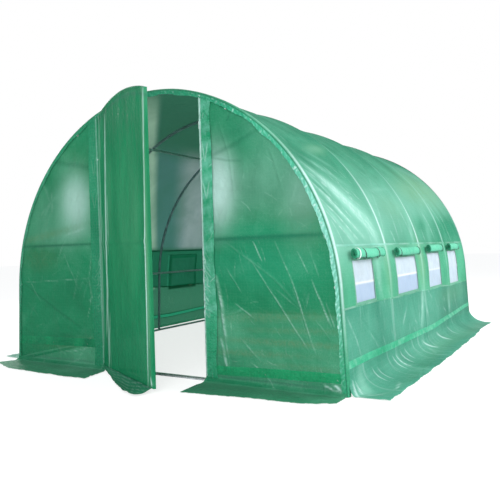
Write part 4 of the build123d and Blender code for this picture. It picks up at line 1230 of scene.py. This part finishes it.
upperSeam = np.full(yFine.shape, stripTopS)
for side, sign in sides:
    seamStrip("upper_seam_" + side, walked(upperSeam, sign), 0.014, 91 + (sign > 0))
    seamStrip("lower_seam_" + side, walked(lengthAt(lowerSeam(yFine)) - seam["belowFilm"], sign), 0.012,
              91 + (sign > 0))
    # the weld strip on the wall, with scattered painted glints
    x, yy, z, u, v, shine = wallGrid(sign, seam["weldLift"], seam["weldRows"])
    sheetGrid("wall_weld_" + side, x, yy, z, weldMaterial, "green_panel", u, v, facing=awayFromAxis,
              shine=0.15 * clamp(wave(u, v, 95, 0.12) * 1.5) ** 2, haze=0.15 + 0.15 * wave(u, v, 97, 0.2))
for side, sign in sides:
    xs = np.linspace(postX + 0.02, 1.46, 150)[:, None]
    low, high = seam["gable"][side]
    z = low + (high - low) * np.array([0, 0.15, 0.5, 0.85, 1])[None, :]
    z = z + (0.022 * (xs - 0.59) / 0.88 if sign > 0 else -0.02 * (xs - 0.5))
    depth, _ = gablePoint(sign * xs, z, lift=seam["weldLift"] * np.array([0.2, 1, 1, 1, 0.2])[None, :])
    # the left gable's weld is given painted shade
    sheetGrid("gable_weld_" + side, sign * xs, depth + front, z, gableWeldMaterial, "green_panel", xs, z,
              facing=np.array([0, -1, 0]), haze=-0.06 + 0.05 * wave(xs, z, 96, 0.1),
              dark=0.0 if sign > 0 else 0.35 + 0.2 * wave(xs, z, 98, 0.25))


# door jambs: film taken round each post from inside, with a crinkled welded hem on the gable; a painted highlight
# line runs down each post, and the left jamb is given painted shade
jamb = {"tube": 0.0160, "hem": 0.090, "top": 0.012, "foot": 0.02, "pucker": 0.0014,
        "line": ([0.26, 1.09, 1.86], [-0.007, -0.004, 0.002]),
        "right": {"haze": ([0.0, 0.4, 0.5, 0.8, 0.95, 1.9], [0.04, 0.04, 0.22, 0.22, 0.2, 0.2]), "glint": 0.8,
                  "lineWide": 0.0075, "lineLit": 1.0, "dark": 0.0},
        "left": {"haze": ([0.0, 1.9], [0.0, 0.0]), "glint": 0.2, "lineWide": 0.006, "lineLit": 0.25, "dark": 0.35}}
jambCreases = scattered(56, 30, (0.0, 0.12, 0.0, 1.95), 0.9, 0.35, (0.03, 0.09), 0.0040, 0.0028, 0.5)
jambCreases += scattered(57, 60, (0.0, 0.08, 0.42, 0.9), -1.0, 0.4, (0.03, 0.09), 0.0040, 0.0028, 1.0)
# painted glints that zigzag down the inner edge, and two folds with painted glints in the shape of a V higher up
for i in range(12):
    near, drop = 0.018 * (i % 2), 0.84 - 0.031 * i
    zigzag = [(0.034 + near, drop), (0.052 - near, 0.84 - 0.031 * (i + 0.9))]
    jambCreases.append((zigzag, 0.0045, 0.0030, 1.0 - 0.05 * i))
for fold in ([(0.05, 1.62), (0.075, 1.47)], [(0.10, 1.60), (0.075, 1.47)], [(0.045, 1.36), (0.08, 1.22)],
             [(0.105, 1.34), (0.08, 1.22)]):
    jambCreases.append((fold, 0.006, 0.0030, 0.4))
for side, sign in sides:
    own, r = jamb[side], jamb["tube"]
    bend = np.linspace(-0.1, 1.0, 9) * math.pi / 2
    px = [[postX - r + 0.001], postX - r * np.cos(bend), np.linspace(postX + 0.003, postX + jamb["hem"], 22)]
    py = [[0.030], tunnel["hoopInset"] - r * np.sin(bend), np.full(22, -0.0006)]
    px, py = np.concatenate(px), np.concatenate(py)
    w = np.concatenate([[0], np.cumsum(np.hypot(np.diff(px), np.diff(py)))])[None, :]
    px, py = px[None, :], py[None, :]
    top = np.sqrt((arcRadius - jamb["top"]) ** 2 - px ** 2) + arcHeight
    z = jamb["foot"] + (top - jamb["foot"]) * np.linspace(0, 1, 330)[:, None]
    height, shine = creaseField(w, z, jambCreases)
    hem = clamp((w - 0.035) / 0.02)
    wide = (1 + 0.10 * wave(z, 0 * z, 58, 0.5)) * hem
    x = px + (wide - hem) * (px - postX)
    pucker = jamb["pucker"] * np.abs(wave(w, z, 59, 0.04))
    y = py - (height + pucker) * np.clip(w / 0.03, 0.2, 1) - 0.001 * hem
    # the painted highlight line down the post, dimmer on the left
    line = bell(px - postX - np.interp(z, *jamb["line"]), own["lineWide"]) * own["lineLit"]
    line = line * (0.85 + 0.15 * wave(z, 0 * z, 60, 0.2))
    piece = sheetGrid("jamb_" + side, sign * x, y + front, z, bandMaterial, "green_film", w, z,
                      shine=clamp(np.maximum(shine * own["glint"], line)), dark=own["dark"],
                      haze=np.interp(z, *own["haze"]) * (1 + 0.7 * wave(w, z, 68, 0.12)),
                      facing=lambda at: (at - np.array([sign * postX, front + 0.06, 0])) * np.array([1, 1, 0]))
print("seams and jambs ready")


# door leaf: film over the outer face, turned back round the edge tubes, and the flap along its foot; the leaf
# stands at its stored angle, and its film is laid out by the way along it, the way out of it and the height
leafTurn = math.radians(26)
leafAlong = np.array([math.cos(leafTurn), -math.sin(leafTurn), 0.0])
leafOut = np.array([-math.sin(leafTurn), -math.cos(leafTurn), 0.0])
hinge = np.array(frame["joints"][0]["pos_m"], float)
door = {"near": 0.0248, "far": 0.9518, "foot": 0.0278, "face": 0.0158, "depth": 0.027, "corner": 0.013,
        "tube": 0.012, "arc": arcRadius - 0.0325, "rail": 0.95, "hollow": 0.0045, "slack": 0.0022}


def leafPoint(a, n, h):
    a, n, h = np.broadcast_arrays(a, n, h)
    return hinge + a[..., None] * leafAlong + n[..., None] * leafOut + h[..., None] * np.array([0, 0, 1.0])


def wrapped(q, low, high):
    # a run of film longer than the face: past each edge it turns through a quarter round a corner and goes back;
    # returns the place across the face and how far it stands behind it
    r = door["corner"]
    past = np.maximum(low + r - q, 0) + np.maximum(q - (high - r), 0)
    which = np.where(q < (low + high) / 2, -1.0, 1.0)
    angle = np.clip(past / r, 0, math.pi / 2)
    straight = np.maximum(past - r * math.pi / 2, 0)
    base = np.clip(q, low + r, high - r)
    return base + which * r * np.sin(angle), r * (1 - np.cos(angle)) + straight


# the last ones are long and carry painted highlight lines: two down the hinge's side, one close by the hinge and
# one down the free edge
doorCreases = scattered(61, 50, (0.03, 0.93, 0.0, 1.95), 1.57, 0.12, (0.2, 0.7), 0.016, 0.0007, 0.01)
doorCreases += scattered(62, 16, (0.89, 0.94, 0.05, 1.8), 1.57, 0.05, (0.1, 0.3), 0.004, 0.0010, 0.25)
doorCreases += [([(0.928, 0.105), (0.945, 0.045)], 0.011, 0.0006, 0.7)]
doorCreases += scattered(63, 16, (0.03, 0.2, 0.05, 1.9), 1.57, 0.1, (0.15, 0.5), 0.008, 0.0018, 0.4)
doorCreases += [([(0.212, 1.90), (0.175, 1.4), (0.155, 0.9), (0.135, 0.05)], 0.015, 0.0042, 0.5),
                ([(0.203, 1.9), (0.195, 1.7), (0.185, 1.4)], 0.012, 0.002, 0.5),
                ([(0.06, 1.8), (0.05, 1.0), (0.045, 0.1)], 0.010, 0.0025, 0.2),
                ([(0.948, 1.95), (0.925, 1.4), (0.898, 0.95), (0.886, 0.0)], 0.0085, 0.0030, 0.9)]
# painted sheen over the face with a painted highlight down the free edge, and painted shade at the foot and the top
doorLight = {"milky": [(0.25, 1.3, 0.35, 0.06, 1.57, 0.16), (0.75, 1.2, 0.35, 0.10, 1.57, 0.16),
                       (0.925, 1.0, 0.95, 0.022, 1.57, 0.9), (0.55, 0.95, 0.4, 0.2, 1.57, 0.12)],
             "dark": [(0.5, 0.25, 0.9, 0.25, 0.0, 0.18), (0.5, 1.9, 0.6, 0.2, 0.0, 0.2)]}
near, far, foot, tube = door["near"], door["far"], door["foot"], door["tube"]
turnBack = door["corner"] * math.pi / 2 - door["corner"] + door["depth"] - door["corner"]
q = steps((near - turnBack, 12), (near + tube, 120), (far - tube, 13), (far + turnBack,))
p = np.concatenate([np.linspace(-turnBack, tube, 10, endpoint=False), np.linspace(tube, 1, 230, endpoint=False),
                    np.linspace(1, 2, 12)])
a, behindA = wrapped(q, near, far)
a, behindA = a[:, None], behindA[:, None]
crown = arcHeight + np.sqrt(door["arc"] ** 2 - (a - postX) ** 2)
upFace = (np.clip(p, tube, 1) - tube) / 0.988 * (crown - tube - foot - tube)
over = np.maximum(p - 1, 0) * (0.024 + turnBack)
h, behindH = wrapped(foot + np.minimum(p, tube) + upFace + over, foot + 0 * a, crown)
fromSides = np.minimum(np.abs(a - near - tube), np.abs(far - tube - a))
tubes = np.minimum.reduce([fromSides + 0 * h, np.abs(h - foot - tube), np.abs(crown - tube - h),
                           np.abs(h - door["rail"])])
height, shine = creaseField(a, h, doorCreases)
taut = 1 - bell(tubes, 0.02)
hollow = (door["hollow"] + door["slack"] * wave(a, h * 0.35, 64, 0.22)) * taut
back = np.maximum(behindA, behindH)
onFace = clamp(1 - back / 0.004)
n = door["face"] - back - np.maximum(hollow - height * (0.35 + 0.65 * taut), 0) * onFace
# painted shade in a band just under the top of the frame
doorFilm = sheetGrid("door_film", *np.moveaxis(leafPoint(a, n, h), -1, 0), doorMaterial, "door_film", a, h,
                     body="door", facing=leafOut, shine=shine * clamp(onFace + 0.3),
                     haze=clamp(patches(a, h, doorLight["milky"])),
                     dark=clamp(0.55 * bell(crown - h - 0.05, 0.012) + patches(a, h, doorLight["dark"])))
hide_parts("door_cover")

# the foot flap leaves the face at the bottom tube and droops to the ground, longest at the free corner; painted
# shade lies over it, darkest where it leaves the face, with faint painted glints
skirt = {"reach": ([0.04, 0.16, 0.33, 0.60, 0.80, 0.925], [0.012, 0.030, 0.050, 0.108, 0.140, 0.128]),
         "start": 0.05, "from": 0.036, "droop": 0.029, "lowest": 0.0075}
a = np.linspace(skirt["start"], far - 0.001, 80)[:, None]
t = np.linspace(0, 1, 22)[None, :]
reach = np.interp(a, *skirt["reach"])
lift = np.abs(wave(a, t * 0.1, 66, 0.25) * 0.006 * t) + 0.010 * t ** 3 * clamp((reach - 0.08) / 0.05)
n = door["face"] + 0.0012 + reach * t ** 0.9 + 0.002 * np.sin(6 * a) * t
h = skirt["from"] - skirt["droop"] * np.sin(math.pi / 2 * clamp(t * 1.25)) * np.clip(reach / 0.06, 0.25, 1) + lift
spread = a + 0.012 * t * clamp((a - 0.5) / 0.4) - 0.03 * t * clamp((0.3 - a) / 0.3)
doorSkirt = sheetGrid("door_foot_flap", *np.moveaxis(leafPoint(spread, n, np.maximum(h, skirt["lowest"])), -1, 0),
                      doorMaterial, "door_film", a, -0.15 * t, body="door", facing=leafOut + np.array([0, 0, 0.6]),
                      shine=0.15 * clamp(wave(a, t * 0.2, 67, 0.05)), dark=0.65 - 0.25 * t + 0.5 * bell(t, 0.08))
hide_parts("door_skirt")
print("door ready")


# steel: hoops of swaged tubes with their joints; their feet are cut off level with the ground
hoopLook = {"radius": 0.0125, "jointAt": (1.18, 2.0, around - 2.0, around - 1.18), "swage": 0.0016, "sleeve": 0.045}
beside = np.array([-0.045, -0.04, -0.002, 0, 0.002])
for i, y in enumerate(hoopAt):
    s = np.unique(np.concatenate([np.linspace(0.001, around - 0.001, 190)]
                                 + [j + beside for j in hoopLook["jointAt"]]))
    x, z = section(s, tunnel["hoopInset"])
    r = np.full(s.shape, hoopLook["radius"])
    for j in hoopLook["jointAt"]:
        r = r - hoopLook["swage"] * clamp((s - (j - hoopLook["sleeve"])) / 0.005) * (s < j - 0.0005)
    z[0], z[-1] = max(z[0], 0.0), max(z[-1], 0.0)
    path = np.stack([x, np.full(x.shape, y + front), z], 1)
    hoop = tubeAlong("hoop_tube_%d" % (i + 1), path, r, tubeMaterial, "steel_tube")
    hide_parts("hoop_%d" % (i + 1))
    co = np.array([v.co for v in hoop.data.vertices])
    co[:, 2] = np.maximum(co[:, 2], 0.0)
    hoop.data.vertices.foreach_set("co", co.astype(np.float32).ravel())
print("steel ready")


def cameraMatrix(yaw, pitch, roll, place):
    # the way it looks, its right and its up from turns about the upright, the cross axis and the line of sight
    ahead = np.array([math.sin(yaw) * math.cos(pitch), math.cos(yaw) * math.cos(pitch), math.sin(pitch)])
    right = np.array([math.cos(yaw), -math.sin(yaw), 0.0])
    down = np.cross(ahead, right)
    c, s = math.cos(roll), math.sin(roll)
    across, lower = c * right + s * down, -s * right + c * down
    return Matrix(((across[0], -lower[0], -ahead[0], place[0]), (across[1], -lower[1], -ahead[1], place[1]),
                   (across[2], -lower[2], -ahead[2], place[2]), (0, 0, 0, 1)))


camera = bpy.data.objects.new("camera", bpy.data.cameras.new("camera"))
scene.collection.objects.link(camera)
camera.data.sensor_width, camera.data.lens = 36, 41.25
camera.matrix_world = cameraMatrix(-0.5499, -0.0026, 0.0301, (2.7577, front - 3.1115, 0.8836))
scene.camera = camera

studio = {"sky": 0.62, "skyColour": (0.93, 0.97, 1.0), "floorGlow": 0.6, "floorWhite": 1.25}
world = bpy.data.worlds.new("studio")
scene.world = world
world.use_nodes = True
world.node_tree.nodes.clear()
put = nodeMaker(world.node_tree)
work = sumMaker(put)[0]
rays = put("LightPath").outputs
seen = work("MAXIMUM", work("MAXIMUM", rays["Is Camera Ray"], rays["Is Transmission Ray"]), rays["Is Glossy Ray"])
sky = put("Background", {"Color": studio["skyColour"], "Strength": studio["sky"]})
white = put("Background", {"Color": (1, 1, 1), "Strength": 1.0})
mixed = put("MixShader", {0: seen, 1: sky.outputs[0], 2: white.outputs[0]})
put("OutputWorld", {0: mixed.outputs[0]})


def areaLight(name, place, target, size, power, colour=(1, 1, 1)):
    light = bpy.data.lights.new(name, "AREA")
    light.shape, light.size, light.size_y, light.energy, light.color = "RECTANGLE", size[0], size[1], power, colour
    lamp = bpy.data.objects.new(name, light)
    scene.collection.objects.link(lamp)
    back = np.array(place, float) - np.array(target, float)
    back /= np.linalg.norm(back)
    right = np.cross([0, 0, 1], back)
    right /= np.linalg.norm(right)
    up = np.cross(back, right)
    lamp.matrix_world = Matrix([[right[i], up[i], back[i], place[i]] for i in range(3)] + [[0, 0, 0, 1]])
    return lamp


areaLight("right key", (6.5, 1.5, 4.2), (0.8, 0, 0.8), (4.0, 3.0), 455)
areaLight("left glow", (-5.5, 2.5, 3.6), (-1.0, 0.3, 1.3), (3.5, 2.5), 260)
areaLight("front fill", (3.0, -7.4, 3.0), (0.3, -1.6, 0.9), (4.0, 3.0), 400)

floorMaterial, put, out = newMaterial("studio floor")
work = sumMaker(put)[0]
matt = put("BsdfDiffuse", {"Color": (0.9, 0.9, 0.9)})
bright = put("Emission", {"Color": (1, 1, 1), "Strength": studio["floorWhite"]})
amount = work("MULTIPLY", put("LightPath").outputs["Is Camera Ray"], studio["floorGlow"])
both = put("MixShader", {0: amount, 1: matt.outputs[0], 2: bright.outputs[0]})
floorMaterial.node_tree.links.new(both.outputs[0], out)
floorMesh = bpy.data.meshes.new("floor")
floorMesh.from_pydata([(-40, -40, -0.001), (40, -40, -0.001), (40, 40, -0.001), (-40, 40, -0.001)], [],
                      [(0, 1, 2, 3)])
floor = bpy.data.objects.new("floor", floorMesh)
scene.collection.objects.link(floor)
floorMesh.materials.append(floorMaterial)

scene.view_settings.view_transform = "Standard"
print("studio ready")
